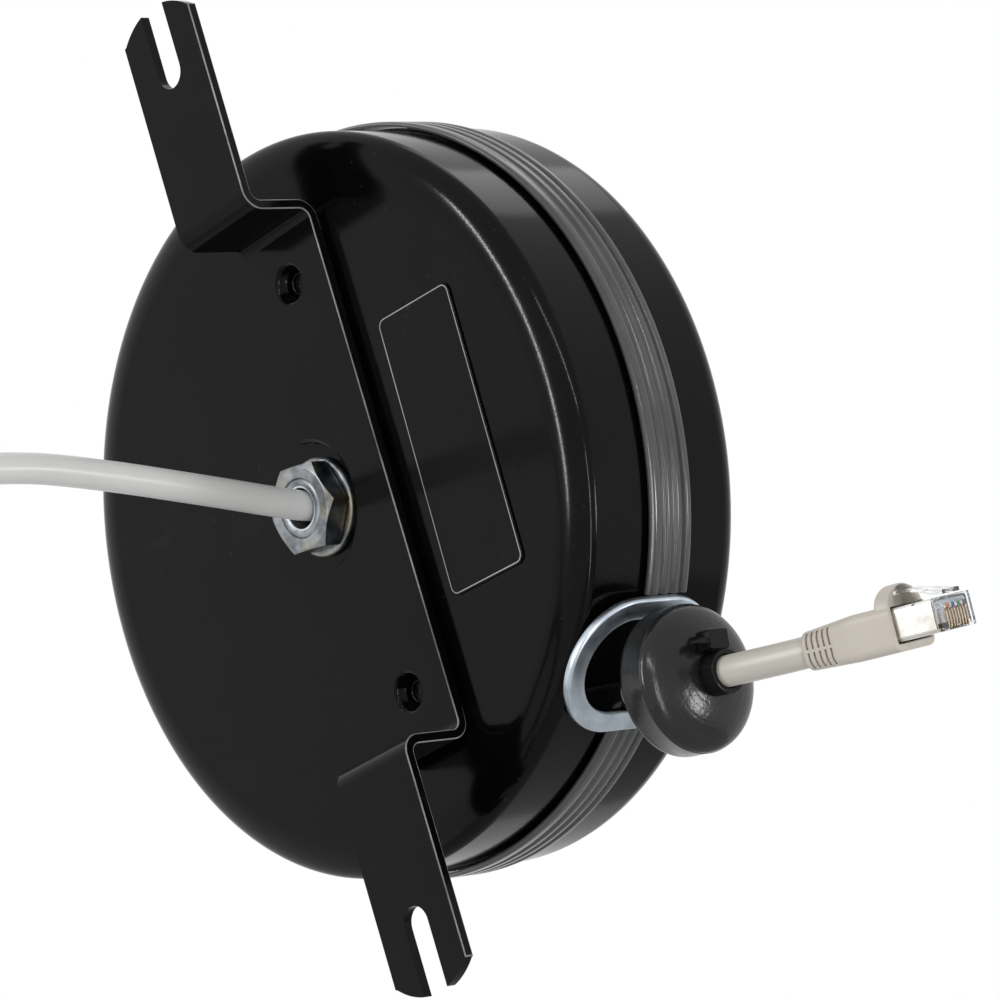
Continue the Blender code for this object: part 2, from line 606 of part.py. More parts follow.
def plug_set(prefix, place):
    """A boot, shielded plug, contacts and latch in the plug's own axes: x out, y across, z up."""

    def at(*spot):
        return place @ Vector(spot)

    draw = axes_at((0, 0, 0), (0, 1, 0), (0, 0, 1), (1, 0, 0))
    raised = place @ Matrix.Translation((0, 0, PLUG_LIFT))

    def section(x, grow, scale, radius):
        width, low, high = [a + (b - a) * grow for a, b in zip(BOOT_NECK, BOOT_MOUTH)]
        middle = (low + high) / 2
        outline = rounded_box(width * scale, (high - low) * scale, radius)
        return [at(x, u, v + middle) for u, v in outline]

    full_at = 0.0130
    loops = [section(0, 0, 0.94, 0.0016), section(0.0008, 0.06, 1.0, 0.0018)]
    for i in range(4):
        x = 0.0015 + i * 0.0018
        for step, scale in ((0, 1.0), (0.0003, 0.88), (0.0008, 0.88), (0.0011, 1.0)):
            loops.append(section(x + step, (x + step) / full_at, scale, 0.0018))
    loops += [section(full_at, 1, 1, 0.0018), section(BOOT_LENGTH - 0.0004, 1, 1, 0.0018)]
    loops.append(section(BOOT_LENGTH, 1, 0.96, 0.0016))
    boot = skin(prefix + "boot", loops, BOOT_GREY)

    hood = half_ellipse(*HOOD_OUTER, HOOD_BASE, 9)
    hood_end = BOOT_LENGTH - 0.0003
    tool = extruded(prefix + "hood_tool", hood, hood_end - HOOD_LENGTH, hood_end, None, place @ draw)
    shape(boot, tool, "UNION")
    pocket = half_ellipse(*HOOD_INNER, HOOD_BASE + 0.0001, 9)
    tool = extruded(prefix + "pocket_tool", pocket, hood_end - HOOD_DEPTH, 0.0300, None, place @ draw)
    shape(boot, tool)
    cavity = rounded_box(PLUG_WIDTH + 2 * GAP, PLUG_HEIGHT + 2 * GAP, 0.0004, 2)
    shape(boot, extruded(prefix + "cavity_tool", cavity, 0.0098, 0.0310, None, raised @ draw))

    def wall(x, outline):
        return [raised @ Vector((x, u, v)) for u, v in outline]

    outer = rounded_box(PLUG_WIDTH, PLUG_HEIGHT, 0.0004, 2)
    inner = rounded_box(PLUG_WIDTH - 2 * SHEET_WALL, PLUG_HEIGHT - 2 * SHEET_WALL, 0.0002, 2)
    ends = wall(0.0102, outer), wall(SHIELD_END, outer), wall(SHIELD_END, inner), wall(0.0102, inner)
    skin(prefix + "plug_shield", list(zip(*ends)), STEEL, ring=True)

    core_width = PLUG_WIDTH - 2 * SHEET_WALL - 2 * GAP
    core_height = PLUG_HEIGHT - 2 * SHEET_WALL - 2 * GAP
    core = rounded_box(core_width, core_height, 0.0002, 2)
    nose = rounded_box(PLUG_WIDTH, PLUG_HEIGHT, 0.0003, 2)
    nose_start = SHIELD_END + GAP
    loops = [wall(0.0108, core), wall(nose_start, core), wall(nose_start, nose), wall(PLUG_END, nose)]
    body = skin(prefix + "plug_body", loops, CLEAR, sharp=20)
    low = -PLUG_HEIGHT / 2 - 0.0008
    slit = [(u, v + low) for u, v in rounded_box(0.0092, 0.0040, 0.0001, 2)]
    tool = extruded(prefix + "slit_tool", slit, nose_start + 0.0002, PLUG_END + 0.001, None, raised @ draw)
    shape(body, tool)

    pitch, blade = 0.00102, 0.00050
    base = -PLUG_HEIGHT / 2 + 0.0002
    comb = [(-0.0042, base + 0.0006), (-0.0042, base + 0.0004)]
    for i in range(8):
        middle = (i - 3.5) * pitch
        comb += [(middle - blade / 2, base + 0.0004), (middle - blade / 2, base)]
        comb += [(middle + blade / 2, base), (middle + blade / 2, base + 0.0004)]
    comb += [(0.0042, base + 0.0004), (0.0042, base + 0.0006)]
    start = nose_start + 0.0005
    extruded(prefix + "plug_contacts", comb, start, PLUG_END - 0.0001, GOLD, raised @ draw)

    top = PLUG_LIFT + PLUG_HEIGHT / 2 + GAP
    hinge = at(PLUG_END - 0.0009, 0, top + 0.0003)
    spine = [(PLUG_END - 0.0002, top, 0.0062), (PLUG_END - 0.0034, top + 0.0006, 0.0062)]
    spine += [(PLUG_END - 0.0050, top + 0.0011, 0.0036), (0.0203, top + 0.0020, 0.0034)]
    loops = []
    for x, z, width in spine:
        corners = ((width / 2, 0), (width / 2, 0.0008), (-width / 2, 0.0008), (-width / 2, 0))
        loops.append([at(x, u, v + z) for u, v in corners])
    latch = skin(prefix + "plug_latch", loops, CLEAR)
    latch.data.transform(Matrix.Translation(-hinge))
    latch.location = hinge


def band_round(name, place, inner, thick, width, table, head=None):
    """A strap closed round a cord or bundle, with its locking head."""
    loops = []
    for i in range(len(inner)):
        u, v = inner[i]
        before, after = Vector(inner[i - 1]), Vector(inner[(i + 1) % len(inner)])
        run = (after - before).normalized()
        p, q = u + run.y * thick, v - run.x * thick
        low, high = -width / 2, width / 2
        loops.append([place @ Vector(s) for s in ((u, v, low), (p, q, low), (p, q, high), (u, v, high))])
    strap = skin(name, loops, table, ring=True)
    if head:
        (u, v), size = head
        outline = [(u + a, v + b) for a, b in rounded_box(size[0], size[1], 0.0006, 2)]
        reach = size[2] / 2
        shape(strap, extruded(name + "_head_tool", outline, -reach, reach, None, place), "UNION")
    return strap


def working_cord():
    """The end of the working cord with its stop, tie and plug."""
    radius = CORD_DIAMETER / 2
    bore = radius + GAP
    inner_end = 0.0590
    run = [CORD_START + CORD_OUT * s for s in (0.0265, 0.0370, 0.0480, inner_end - GAP)]
    tube("cord_inner_run", run, CORD_DIAMETER, RUBBER)  # inside a black sleeve

    boot_start = Vector((-0.0957, -0.0405, -0.0669))
    boot_out = Vector((-0.9693, -0.1970, -0.1470)).normalized()
    boot_across = (boot_out * boot_out.y - Vector((0, 1, 0))).normalized()
    boot_up = boot_out.cross(boot_across)
    roll = Matrix.Rotation(math.radians(5.7), 3, boot_out)
    boot_across, boot_up = roll @ boot_across, roll @ boot_up
    place = axes_at(boot_start, boot_out, boot_across, boot_up)
    end = boot_start - boot_out * GAP
    knots = [CORD_START + CORD_OUT * s for s in (inner_end, 0.0725, 0.0860)]
    knots += [CORD_START + CORD_OUT * 0.0905 + Vector((0, -0.0003, 0)), end - boot_out * 0.0060, end]
    route = smooth_route(knots, 0.0030)
    print("working cord outside the housing", round(length_of(route), 4))
    tube("cord_end", route, CORD_DIAMETER, CORD_GREY)
    plug_set("cord_", place)

    back = STOP_FRONT - STOP_THICKNESS
    edge = 0.0020
    rubber = [(bore, back), (STOP_RADIUS - edge, back), (STOP_RADIUS - 0.0006, back + 0.0007)]
    rubber += [(STOP_RADIUS, back + edge)]
    bore_turn = math.degrees(math.acos(bore / STOP_RADIUS))
    for turn in (0, 7, 16, 27, 40, 54, 66, bore_turn):
        angle = math.radians(turn)
        rubber.append((STOP_RADIUS * math.cos(angle), STOP_FRONT + STOP_CROWN * math.sin(angle)))
    to_cord = CORD_PLACE @ Matrix.Rotation(math.radians(90), 4, "X")
    turned("rubber_stop", rubber, RUBBER, 28, to_cord)

    tie_place = CORD_PLACE @ Matrix.Translation((0, 0, TIE_AT))
    loop = arc((0, 0), bore, 0, 337.5, 16)
    head = ((0.0010, 0.0063), (0.0052, 0.0040, 0.0038))
    band_round("cable_tie", tie_place, loop, 0.0011, 0.0036, TIE_BLACK, head)


def coil_route():
    """Spirals in on one layer, climbs in the half turn where it reverses, and spirals out."""
    per_turn = 24
    count = round(COIL_TURNS * per_turn)
    half = count / 2
    points = []
    for i in range(count + 1):
        angle = COIL_START + 2 * math.pi * i / per_turn
        r = COIL_OUTER - COIL_PITCH * (half - abs(i - half)) / per_turn
        climb = min(max((i - half) / (per_turn / 2) + 0.5, 0.0), 1.0)
        climb = climb * climb * (3 - 2 * climb)
        y = LEAD_Y + COIL_PITCH * climb
        x, z = COIL_CENTRE[0] - r * math.cos(angle), COIL_CENTRE[1] - r * math.sin(angle)
        points.append(Vector((x, y, z)))
    return points


def least_gap(route, diameter, apart):
    """The smallest clear space between turns of one tube."""
    best = 1.0
    for i, a in enumerate(route):
        for b in route[i + apart:]:
            best = min(best, (a - b).length)
    return best - diameter


def input_lead():
    """The lead from the axle's bore to its hanging coil, tail and plug."""
    coil = coil_route()
    into = Vector((math.sin(COIL_START), 0, -math.cos(COIL_START)))
    last = COIL_START + 2 * math.pi * COIL_TURNS
    away = Vector((math.sin(last), 0, -math.cos(last)))
    coil_in = coil[0] - into * CORD_DIAMETER
    coil_out = coil[-1] + away * CORD_DIAMETER
    knots = [
        (0, -0.0240, -0.0003), (0, -0.0180, 0.0001), (0, -0.0115, 0.0008), (0, 0.0117, 0.0053),
        (0, 0.0351, 0.0096), (0.0002, 0.0532, 0.0120), (0.0018, 0.0700, 0.0122), (0.0055, 0.0860, 0.0085),
        (0.0105, 0.0985, 0.0000), (0.0148, 0.1065, -0.0120), (0.0160, 0.1098, -0.0250),
    ]
    end = coil_in - into * GAP
    knots += [tuple(end - into * 0.0040), tuple(end)]
    route = smooth_route(knots, 0.0062)
    tube("input_lead", route, CORD_DIAMETER, CORD_GREY)
    turns = [coil_in, *coil, coil_out]
    tube("lead_coil", turns, CORD_DIAMETER, CORD_GREY, 1)
    print("least gap in the coil", round(least_gap(turns, CORD_DIAMETER, 12), 5))

    start = coil_out + away * GAP
    tail_end = Vector((0.0205, start.y, -0.1300))
    low = tail_end + Vector((0, 0, 0.0060))
    tail = smooth_route([start, start + away * 0.0040, (0.0175, start.y, -0.1175), low, tail_end], 0.0062)
    tube("lead_tail", tail, CORD_DIAMETER, CORD_GREY)
    total = length_of(route) + length_of(turns) + length_of(tail)
    print("input lead, from inside the bore to its boot", round(total, 4))
    place = axes_at(tail_end + Vector((0, 0, -GAP)), (0, 0, -1), (1, 0, 0), (0, -1, 0))
    plug_set("lead_", place)

    middle = Vector((COIL_CENTRE[0], LEAD_Y + COIL_PITCH / 2, COIL_CENTRE[1] + 0.03315))
    tie_place = axes_at(middle, (0, 1, 0), (0, 0, 1), (1, 0, 0))
    loop = rounded_box(0.0138, 0.0140, 0.0030, 3)
    band_round("coil_tie", tie_place, loop, 0.0011, 0.0045, TIE_BLACK)


housing()
bracket()
axle()
outlet()
label()
drum()
working_cord()
input_lead()
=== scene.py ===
"""Looks of a retractable data cord reel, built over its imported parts.

Everything is in metres in the parts' own frame: the axle lies along Y, the bracket's ears bolt
against the plane y = 0 and face +Y, and the bracket stands along Z.
"""

import math

import bmesh
import bpy
from mathutils import Matrix, Vector


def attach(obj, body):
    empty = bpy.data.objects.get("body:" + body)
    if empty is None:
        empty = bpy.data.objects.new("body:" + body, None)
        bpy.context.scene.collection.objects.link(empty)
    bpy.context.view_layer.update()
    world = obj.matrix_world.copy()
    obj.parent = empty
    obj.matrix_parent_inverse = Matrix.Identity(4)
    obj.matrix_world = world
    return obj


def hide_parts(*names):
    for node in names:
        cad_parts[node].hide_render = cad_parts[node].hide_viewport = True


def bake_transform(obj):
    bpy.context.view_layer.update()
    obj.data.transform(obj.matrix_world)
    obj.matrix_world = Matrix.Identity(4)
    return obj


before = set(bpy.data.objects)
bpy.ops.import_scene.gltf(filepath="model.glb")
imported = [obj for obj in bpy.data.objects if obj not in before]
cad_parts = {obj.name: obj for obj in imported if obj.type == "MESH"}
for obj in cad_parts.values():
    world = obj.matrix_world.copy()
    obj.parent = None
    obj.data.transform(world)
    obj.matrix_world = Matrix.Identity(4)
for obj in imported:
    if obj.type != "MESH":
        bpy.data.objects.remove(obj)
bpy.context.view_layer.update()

GAP = 0.0003  # left between pieces that touch

# Housing
FRONT_RADIUS = 0.0750
REAR_RADIUS = 0.0755
SHELL_WALL = 0.0012
FACE_Y = -0.0186
SEAM_Y = -0.0400
REAR_Y = -0.0613
FRONT_SHOULDER = (0.0080, 0.0038)
REAR_SHOULDER = (0.0062, 0.0056)
BAND_RADIUS = 0.0768
BAND_FRONT_Y = -0.0352
BAND_REAR_Y = -0.0462
BAND_OPENING = math.radians(20.8)

# Bracket
STRIP_CENTRE_X = -0.01243
STRIP_WIDTH = 0.0221
STRIP_THICKNESS = 0.0020
STRIP_Y = -0.0154
RISER_Z = 0.0549
BEND_OUTER = 0.0040
EAR_APEX_Z = 0.1036
EAR_END_RADIUS = 0.0161
SLOT_WIDTH = 0.0072
SLOT_BOTTOM_Z = 0.0861
NOTCH_RADIUS = 0.0130
RIVET_X = -0.0119
RIVET_Z = 0.0434
DIMPLE_RADIUS = 0.0034
RIVET_BORE = 0.0018
RIVET_RADIUS = 0.0024

# Axle
AXLE_RADIUS = 0.0059
AXLE_BORE = 0.00415
AXLE_FRONT_Y = -0.0123
NUT_ACROSS_FLATS = 0.0170
NUT_TURN = math.radians(20.5)
NUT_FRONT_Y = -0.0121
WASHER_RADIUS = 0.0100
WASHER_THICKNESS = 0.0016
THREAD_DEPTH = 0.0003
THREAD_PITCH = 0.0008

# Outlet ring
OUTLET_TURN = math.radians(45.0)
OUTLET_PLANE = 0.0776
OUTLET_THICKNESS = 0.0018
OUTLET_Y = -0.0363
OUTLET_LENGTH = 0.0368
OUTLET_WIDTH = 0.0281
OUTLET_BAND = 0.0043

# Working cord
CORD_DIAMETER = 0.0061
CORD_Y = -0.0375
CORD_TURN = math.radians(79.6)
WOUND_RADIUS = 0.04885
STOP_RADIUS = 0.0144
STOP_FRONT = 0.0768
STOP_THICKNESS = 0.0067
STOP_CROWN = 0.0055
TIE_AT = 0.0843
CORD_LEAVES = 0.0590

# Drum
HUB_RADIUS = 0.0315
WINDING_WIDTH = 0.0260

# Plug and boot, in the plug's own axes: out along the cord, across, and up to the latch
BOOT_LENGTH = 0.0220
BOOT_NECK = (0.0092, -0.0037, 0.0037)  # width, bottom and top
BOOT_MOUTH = (0.0140, -0.0042, 0.0046)
BOOT_FULL_AT = 0.0130
PLUG_WIDTH = 0.0117
PLUG_HEIGHT = 0.0064
PLUG_LIFT = 0.0008
PLUG_END = 0.0319
SHIELD_END = 0.0303
SHEET_WALL = 0.00035
HOOD_LENGTH = 0.0034
HOOD_OUTER = (0.0063, 0.0045)  # half width and height
HOOD_INNER = (0.00395, 0.0038)
HOOD_DEPTH = 0.0026
HOOD_BASE = 0.0040
CONTACT_PITCH = 0.00102
CONTACT_PLACES = [(i - 3.5) * CONTACT_PITCH for i in range(8)]
WIRE_DIAMETER = 0.00090

# Input lead
LEAD_Y = 0.1100
COIL_CENTRE = (0.0320, -0.0720)
COIL_OUTER = 0.0390
COIL_PITCH = 0.0067
COIL_TURNS = 3.25
COIL_START = math.radians(-45)

# Label
LABEL_SIZE = (0.0222, 0.0578)
LABEL_CENTRE = (-0.0407, -0.0016)
LABEL_TILT = math.radians(-1.5)

# Floor, lamps and sky
FLOOR_RADIUS = 1.6
FLOOR_Z = -1.0
LAMP_DISTANCE = 1.5
LAMP_AIM = (0, -0.03, 0)
SKY_LEVEL = 0.36
OVERHEAD_LEVEL = 0.40
OVERHEAD_WAY = (-0.05, -0.42, 0.905)


def axes_at(origin, first, second, third):
    """A placement from three axis directions."""
    spin = Matrix((first, second, third)).transposed().to_4x4()
    return Matrix.Translation(Vector(origin)) @ spin


ALONG_Y = axes_at((0, 0, 0), (1, 0, 0), (0, 0, 1), (0, 1, 0))
ALONG_X = axes_at((0, 0, 0), (0, 1, 0), (0, 0, 1), (1, 0, 0))
OUTLET_OUT = Vector((-math.sin(OUTLET_TURN), 0, -math.cos(OUTLET_TURN)))
OUTLET_ACROSS = Vector((-math.cos(OUTLET_TURN), 0, math.sin(OUTLET_TURN)))
OUTLET_PLACE = axes_at(Vector((0, OUTLET_Y, 0)), (0, 1, 0), OUTLET_ACROSS, OUTLET_OUT)
CORD_OUT = Vector((-math.sin(CORD_TURN), 0, -math.cos(CORD_TURN)))
CORD_UP = Vector((-math.cos(CORD_TURN), 0, math.sin(CORD_TURN)))
CORD_START = -CORD_UP * WOUND_RADIUS + Vector((0, CORD_Y, 0))
CORD_PLACE = axes_at(CORD_START, (0, 1, 0), CORD_UP, CORD_OUT)


# ---------- camera


def in_scene(name, data):
    """An object of its own for some data, in the scene."""
    made = bpy.data.objects.new(name, data)
    bpy.context.scene.collection.objects.link(made)
    return made


def photo_camera():
    """The camera where the photograph was taken from."""
    data = bpy.data.cameras.new("photo_camera")
    data.sensor_width = 36.0
    data.lens = 181.8
    camera = in_scene("photo_camera", data)
    right = Vector((-0.61666, -0.73599, -0.27937)).normalized()
    back = Vector((-0.69985, 0.67503, -0.23355)).normalized()
    up = back.cross(right).normalized()
    right = up.cross(back)
    camera.matrix_world = axes_at((-0.7289, 0.6372, -0.2444), right, up, back)
    bpy.context.scene.camera = camera


photo_camera()


# ---------- making shapes


def arc(centre, radius, start, end, count):
    """Points round a centre, both ends included, in degrees from the first axis."""
    points = []
    for i in range(count):
        angle = math.radians(start + (end - start) * i / (count - 1))
        points.append((centre[0] + radius * math.cos(angle), centre[1] + radius * math.sin(angle)))
    return points


def obround(length, width, count):
    """A slot outline with round ends, long along its first axis."""
    reach = (length - width) / 2
    return arc((reach, 0), width / 2, -90, 90, count) + arc((-reach, 0), width / 2, 90, 270, count)


def rounded_box(width, height, radius, count=6):
    """A rectangle's outline with round corners."""
    x, y = width / 2 - radius, height / 2 - radius
    corners = ((x, y, 0), (-x, y, 90), (-x, -y, 180), (x, -y, 270))
    return [p for cx, cy, turn in corners for p in arc((cx, cy), radius, turn, turn + 90, count)]


def make(name, bm, finish=None, sharp=35):
    """Turns a bmesh into an object, shaded smooth up to its sharp edges."""
    bmesh.ops.remove_doubles(bm, verts=bm.verts, dist=1e-7)
    loose = [edge for edge in bm.edges if not edge.link_faces]
    bmesh.ops.delete(bm, geom=loose, context="EDGES")
    bmesh.ops.recalc_face_normals(bm, faces=bm.faces)
    mesh = bpy.data.meshes.new(name)
    bm.to_mesh(mesh)
    bm.free()
    mesh.shade_smooth()
    mesh.set_sharp_from_angle(angle=math.radians(sharp))
    piece = in_scene(name, mesh)
    if finish:
        mesh.materials.append(finish)
    return piece


def add_body(bm, loops, ring=False):
    """Puts a closed body through equal loops of points, joined end to end or capped."""
    rows = [[bm.verts.new(point) for point in loop] for loop in loops]
    count = len(rows)
    for i in range(count if ring else count - 1):
        near, far = rows[i], rows[(i + 1) % count]
        for j in range(len(near)):
            k = (j + 1) % len(near)
            bm.faces.new((near[j], near[k], far[k], far[j]))
    if not ring:
        bm.faces.new(rows[0][::-1])
        bm.faces.new(rows[-1])


def skin(name, loops, finish=None, ring=False, sharp=35):
    """One closed body as an object of its own."""
    bm = bmesh.new()
    add_body(bm, loops, ring)
    return make(name, bm, finish, sharp)


def turned(name, outline, finish=None, steps=96, place=None, sweep=None, sharp=35):
    """A body of revolution about Y from a closed outline of (radius, y)."""
    start, end = sweep or (0.0, 2 * math.pi)
    count = steps + 1 if sweep else steps
    loops = []
    for i in range(count):
        angle = start + (end - start) * i / steps
        x, z = math.sin(angle), math.cos(angle)
        loop = [Vector((r * x, y, r * z)) for r, y in outline]
        loops.append([place @ p for p in loop] if place else loop)
    return skin(name, loops, finish, ring=not sweep, sharp=sharp)


def extruded(name, outline, low, high, place, finish=None):
    """An outline of (u, v) drawn out from low to high, then put in place."""
    return skin(name, [[place @ Vector((u, v, w)) for u, v in outline] for w in (low, high)], finish)


def walled(name, outer, inner, low, high, place, finish):
    """A ring that fills the room between two equal outlines, from low to high."""
    loops = []
    for (u, v), (p, q) in zip(outer, inner):
        row = ((u, v, low), (u, v, high), (p, q, high), (p, q, low))
        loops.append([place @ Vector(corner) for corner in row])
    return skin(name, loops, finish, ring=True)


def settle(piece):
    """Makes a piece's modifiers part of its mesh."""
    graph = bpy.context.evaluated_depsgraph_get()
    mesh = bpy.data.meshes.new_from_object(piece.evaluated_get(graph))
    piece.modifiers.clear()
    piece.data = mesh
    return piece


def shape(piece, tool, operation="DIFFERENCE"):
    """Cuts or joins a piece with a tool body, and puts the tool away."""
    change = piece.modifiers.new("shape", "BOOLEAN")
    change.operation = operation
    change.solver = "EXACT"
    change.object = tool
    settle(piece)
    bpy.data.objects.remove(tool, do_unlink=True)
    return piece


def even_shading(piece, sharp=50):
    """Shades flats flat and rounds round, with a break at sharp edges."""
    piece.data.shade_smooth()
    piece.data.set_sharp_from_angle(angle=math.radians(sharp))
    change = piece.modifiers.new("even", "WEIGHTED_NORMAL")
    change.keep_sharp = True
    return settle(piece)


def soften(piece, width, segments=3, angle=35, where=None, finish=None):
    """Rounds the sharp edges whose middles pass a test, in a finish of their own if given."""
    bm = bmesh.new()
    bm.from_mesh(piece.data)
    share = bm.edges.layers.float.new("bevel_weight_edge")
    for edge in bm.edges:
        if len(edge.link_faces) == 2 and edge.calc_face_angle() > math.radians(angle):
            middle = (edge.verts[0].co + edge.verts[1].co) / 2
            edge[share] = 1.0 if not where or where(middle) else 0.0
    bm.to_mesh(piece.data)
    bm.free()
    change = piece.modifiers.new("soften", "BEVEL")
    change.width = width
    change.segments = segments
    change.limit_method = "WEIGHT"
    if finish:
        piece.data.materials.append(finish)
        change.material = len(piece.data.materials) - 1
    settle(piece)
    weights = piece.data.attributes.get("bevel_weight_edge")
    if weights:
        piece.data.attributes.remove(weights)
    return even_shading(piece)


def smooth_route(knots, spacing):
    """Evenly spaced points on one smooth curve through the knots."""
    knots = [Vector(k) for k in knots]
    ends = [2 * knots[0] - knots[1], *knots, 2 * knots[-1] - knots[-2]]
    fine = []
    for before, a, b, after in zip(ends, ends[1:], ends[2:], ends[3:]):
        span = (b - a).length
        enter = (b - before) / ((a - before).length + span) * span
        leave = (after - a) / ((after - b).length + span) * span
        for i in range(20):
            t = i / 20
            fine.append(
                a * (2 * t**3 - 3 * t**2 + 1)
                + enter * (t**3 - 2 * t**2 + t)
                + b * (3 * t**2 - 2 * t**3)
                + leave * (t**3 - t**2)
            )
    fine.append(knots[-1])
    lengths = [0.0]
    for a, b in zip(fine, fine[1:]):
        lengths.append(lengths[-1] + (b - a).length)
    count = max(2, round(lengths[-1] / spacing))
    points, at = [], 0
    for i in range(count + 1):
        want = lengths[-1] * i / count
        while at < len(fine) - 2 and lengths[at + 1] < want:
            at += 1
        share = (want - lengths[at]) / max(lengths[at + 1] - lengths[at], 1e-9)
        points.append(fine[at].lerp(fine[at + 1], min(max(share, 0.0), 1.0)))
    return points


def tube(name, route, diameter, finish, sides=24):
    """A round cord as a mesh along its points, with closed ends."""
    route = [Vector(p) for p in route]
    loops = []
    side = None
    for i, point in enumerate(route):
        run = (route[min(i + 1, len(route) - 1)] - route[max(i - 1, 0)]).normalized()
        if side is None:
            side = run.orthogonal().normalized()
        side = (side - run * side.dot(run)).normalized()
        lift = run.cross(side)
        ring = []
        for j in range(sides):
            angle = 2 * math.pi * j / sides
            ring.append(point + (side * math.cos(angle) + lift * math.sin(angle)) * diameter / 2)
        loops.append(ring)
    return skin(name, loops, finish)


# ---------- finishes


def add(tree, kind, inputs=None, **settings):
    """A node with its settings, and its inputs given as values or linked from sockets."""
    made = tree.nodes.new(kind)
    for key, value in settings.items():
        setattr(made, key, value)
    for key, value in (inputs or {}).items():
        socket = made.inputs[key]
        if isinstance(value, bpy.types.NodeSocket):
            tree.links.new(value, socket)
        else:
            socket.default_value = value
    return made


def new_effect(name, inputs, outputs):
    """An empty node group with named float inputs and outputs, and its two end nodes."""
    group = bpy.data.node_groups.new(name, "ShaderNodeTree")
    for label, value in inputs.items():
        socket = group.interface.new_socket(label, in_out="INPUT", socket_type="NodeSocketFloat")
        socket.default_value = value
    for label in outputs:
        group.interface.new_socket(label, in_out="OUTPUT", socket_type="NodeSocketFloat")
    return group, group.nodes.new("NodeGroupInput"), group.nodes.new("NodeGroupOutput")


def object_noise(tree, scale, detail=2.0, stretch=(1.0, 1.0, 1.0), roughness=0.5):
    """Noise fixed to the object, as a float socket."""
    place = add(tree, "ShaderNodeTexCoord")
    spread = add(tree, "ShaderNodeMapping", {"Vector": place.outputs["Object"], "Scale": stretch})
    inputs = {"Vector": spread.outputs[0], "Scale": scale, "Detail": detail, "Roughness": roughness}
    return add(tree, "ShaderNodeTexNoise", inputs).outputs["Fac"]


def ranged(tree, value, low, high, to_low=0.0, to_high=1.0):
    """A value's range moved to another, held at its ends."""
    inputs = {"Value": value, "From Min": low, "From Max": high, "To Min": to_low, "To Max": to_high}
    return add(tree, "ShaderNodeMapRange", inputs).outputs[0]


def times(tree, a, b):
    """The product of two values, as a float socket."""
    return add(tree, "ShaderNodeMath", {0: a, 1: b}, operation="MULTIPLY").outputs[0]


def plus(tree, a, b):
    """The sum of two values, as a float socket."""
    return add(tree, "ShaderNodeMath", {0: a, 1: b}, operation="ADD").outputs[0]


def tone(tree, mask, low, high):
    """A colour between two, by a mask, where the first can also be a socket."""
    if not isinstance(low, bpy.types.NodeSocket):
        low = (*low, 1.0)
    inputs = {"Factor": mask, "A": low, "B": (*high, 1.0)}
    return add(tree, "ShaderNodeMix", inputs, data_type="RGBA").outputs["Result"]


def grain_effect():
    """Fine surface grain: a height for bumps, and a slow patchiness for gloss and tone."""
    group, start, end = new_effect("surface_grain", {"Fine": 1600.0, "Slow": 60.0}, ("Height", "Patches"))
    fine = object_noise(group, start.outputs["Fine"], 3.0)
    slow = object_noise(group, start.outputs["Slow"], 4.0, roughness=0.6)
    group.links.new(fine, end.inputs["Height"])
    group.links.new(ranged(group, slow, 0.3, 0.7), end.inputs["Patches"])
    return group


def dust_effect():
    """Sparse specks of dust and lint."""
    group, start, end = new_effect("dust_specks", {"Size": 900.0, "Amount": 0.5}, ("Mask",))
    specks = object_noise(group, start.outputs["Size"], 1.0)
    where = object_noise(group, 45.0, 2.0)
    sharp = ranged(group, specks, 0.735, 0.765)
    patch = ranged(group, where, 0.45, 0.65)
    group.links.new(times(group, times(group, sharp, patch), start.outputs["Amount"]), end.inputs["Mask"])
    return group


def rub_effect():
    """Faint rubbed streaks, long across X and Z."""
    group, start, end = new_effect("rub_marks", {"Amount": 0.5}, ("Mask",))
    streaks = object_noise(group, 300.0, 4.0, (0.25, 2.0, 1.0), 0.65)
    where = object_noise(group, 28.0, 2.0)
    mask = times(group, ranged(group, streaks, 0.55, 0.75), ranged(group, where, 0.5, 0.7))
    group.links.new(times(group, mask, start.outputs["Amount"]), end.inputs["Mask"])
    return group


GRAIN = grain_effect()
DUST = dust_effect()
RUB = rub_effect()


def effect(tree, group, **values):
    """The outputs of a node group put into a tree, with its inputs set."""
    node = tree.nodes.new("ShaderNodeGroup")
    node.node_tree = group
    for label, value in values.items():
        node.inputs[label].default_value = value
    return node.outputs


def new_finish(name, **settings):
    """A material, its node tree and its shader, with uniform settings put on the shader."""
    made = bpy.data.materials.new(name)
    made.use_nodes = True
    tree = made.node_tree
    shader = tree.nodes["Principled BSDF"]
    for key, value in settings.items():
        socket = shader.inputs[key.replace("_", " ").title().replace("Ior", "IOR")]
        socket.default_value = (*value, 1.0) if isinstance(value, tuple) else value
    return made, tree, shader


def bump(tree, shader, height, strength, distance):
    """Roughens a shader's surface by a height."""
    inputs = {"Height": height, "Strength": strength, "Distance": distance}
    tree.links.new(add(tree, "ShaderNodeBump", inputs).outputs[0], shader.inputs["Normal"])


def coated(name, dark, pale, gloss, dust=0.0, rub=0.0, fine=1500.0, height=0.05, **settings):
    """Paint, plastic or rubber: two close tones, uneven gloss, specks and fine grain."""
    made, tree, shader = new_finish(name, **settings)
    grain = effect(tree, GRAIN, Fine=fine, Slow=55.0)
    specks = effect(tree, DUST, Size=850.0, Amount=dust)
    rubs = effect(tree, RUB, Amount=rub)
    colour = tone(tree, grain["Patches"], dark, pale)
    marks = plus(tree, specks["Mask"], rubs["Mask"])
    lint = tuple(min(1.0, 0.12 + 1.6 * c) for c in pale)
    colour = tone(tree, marks, colour, lint)
    tree.links.new(colour, shader.inputs["Base Color"])
    rough = ranged(tree, grain["Patches"], 0.0, 1.0, *gloss)
    tree.links.new(plus(tree, rough, times(tree, marks, 0.3)), shader.inputs["Roughness"])
    bump(tree, shader, grain["Height"], height, 0.0002)
    return made


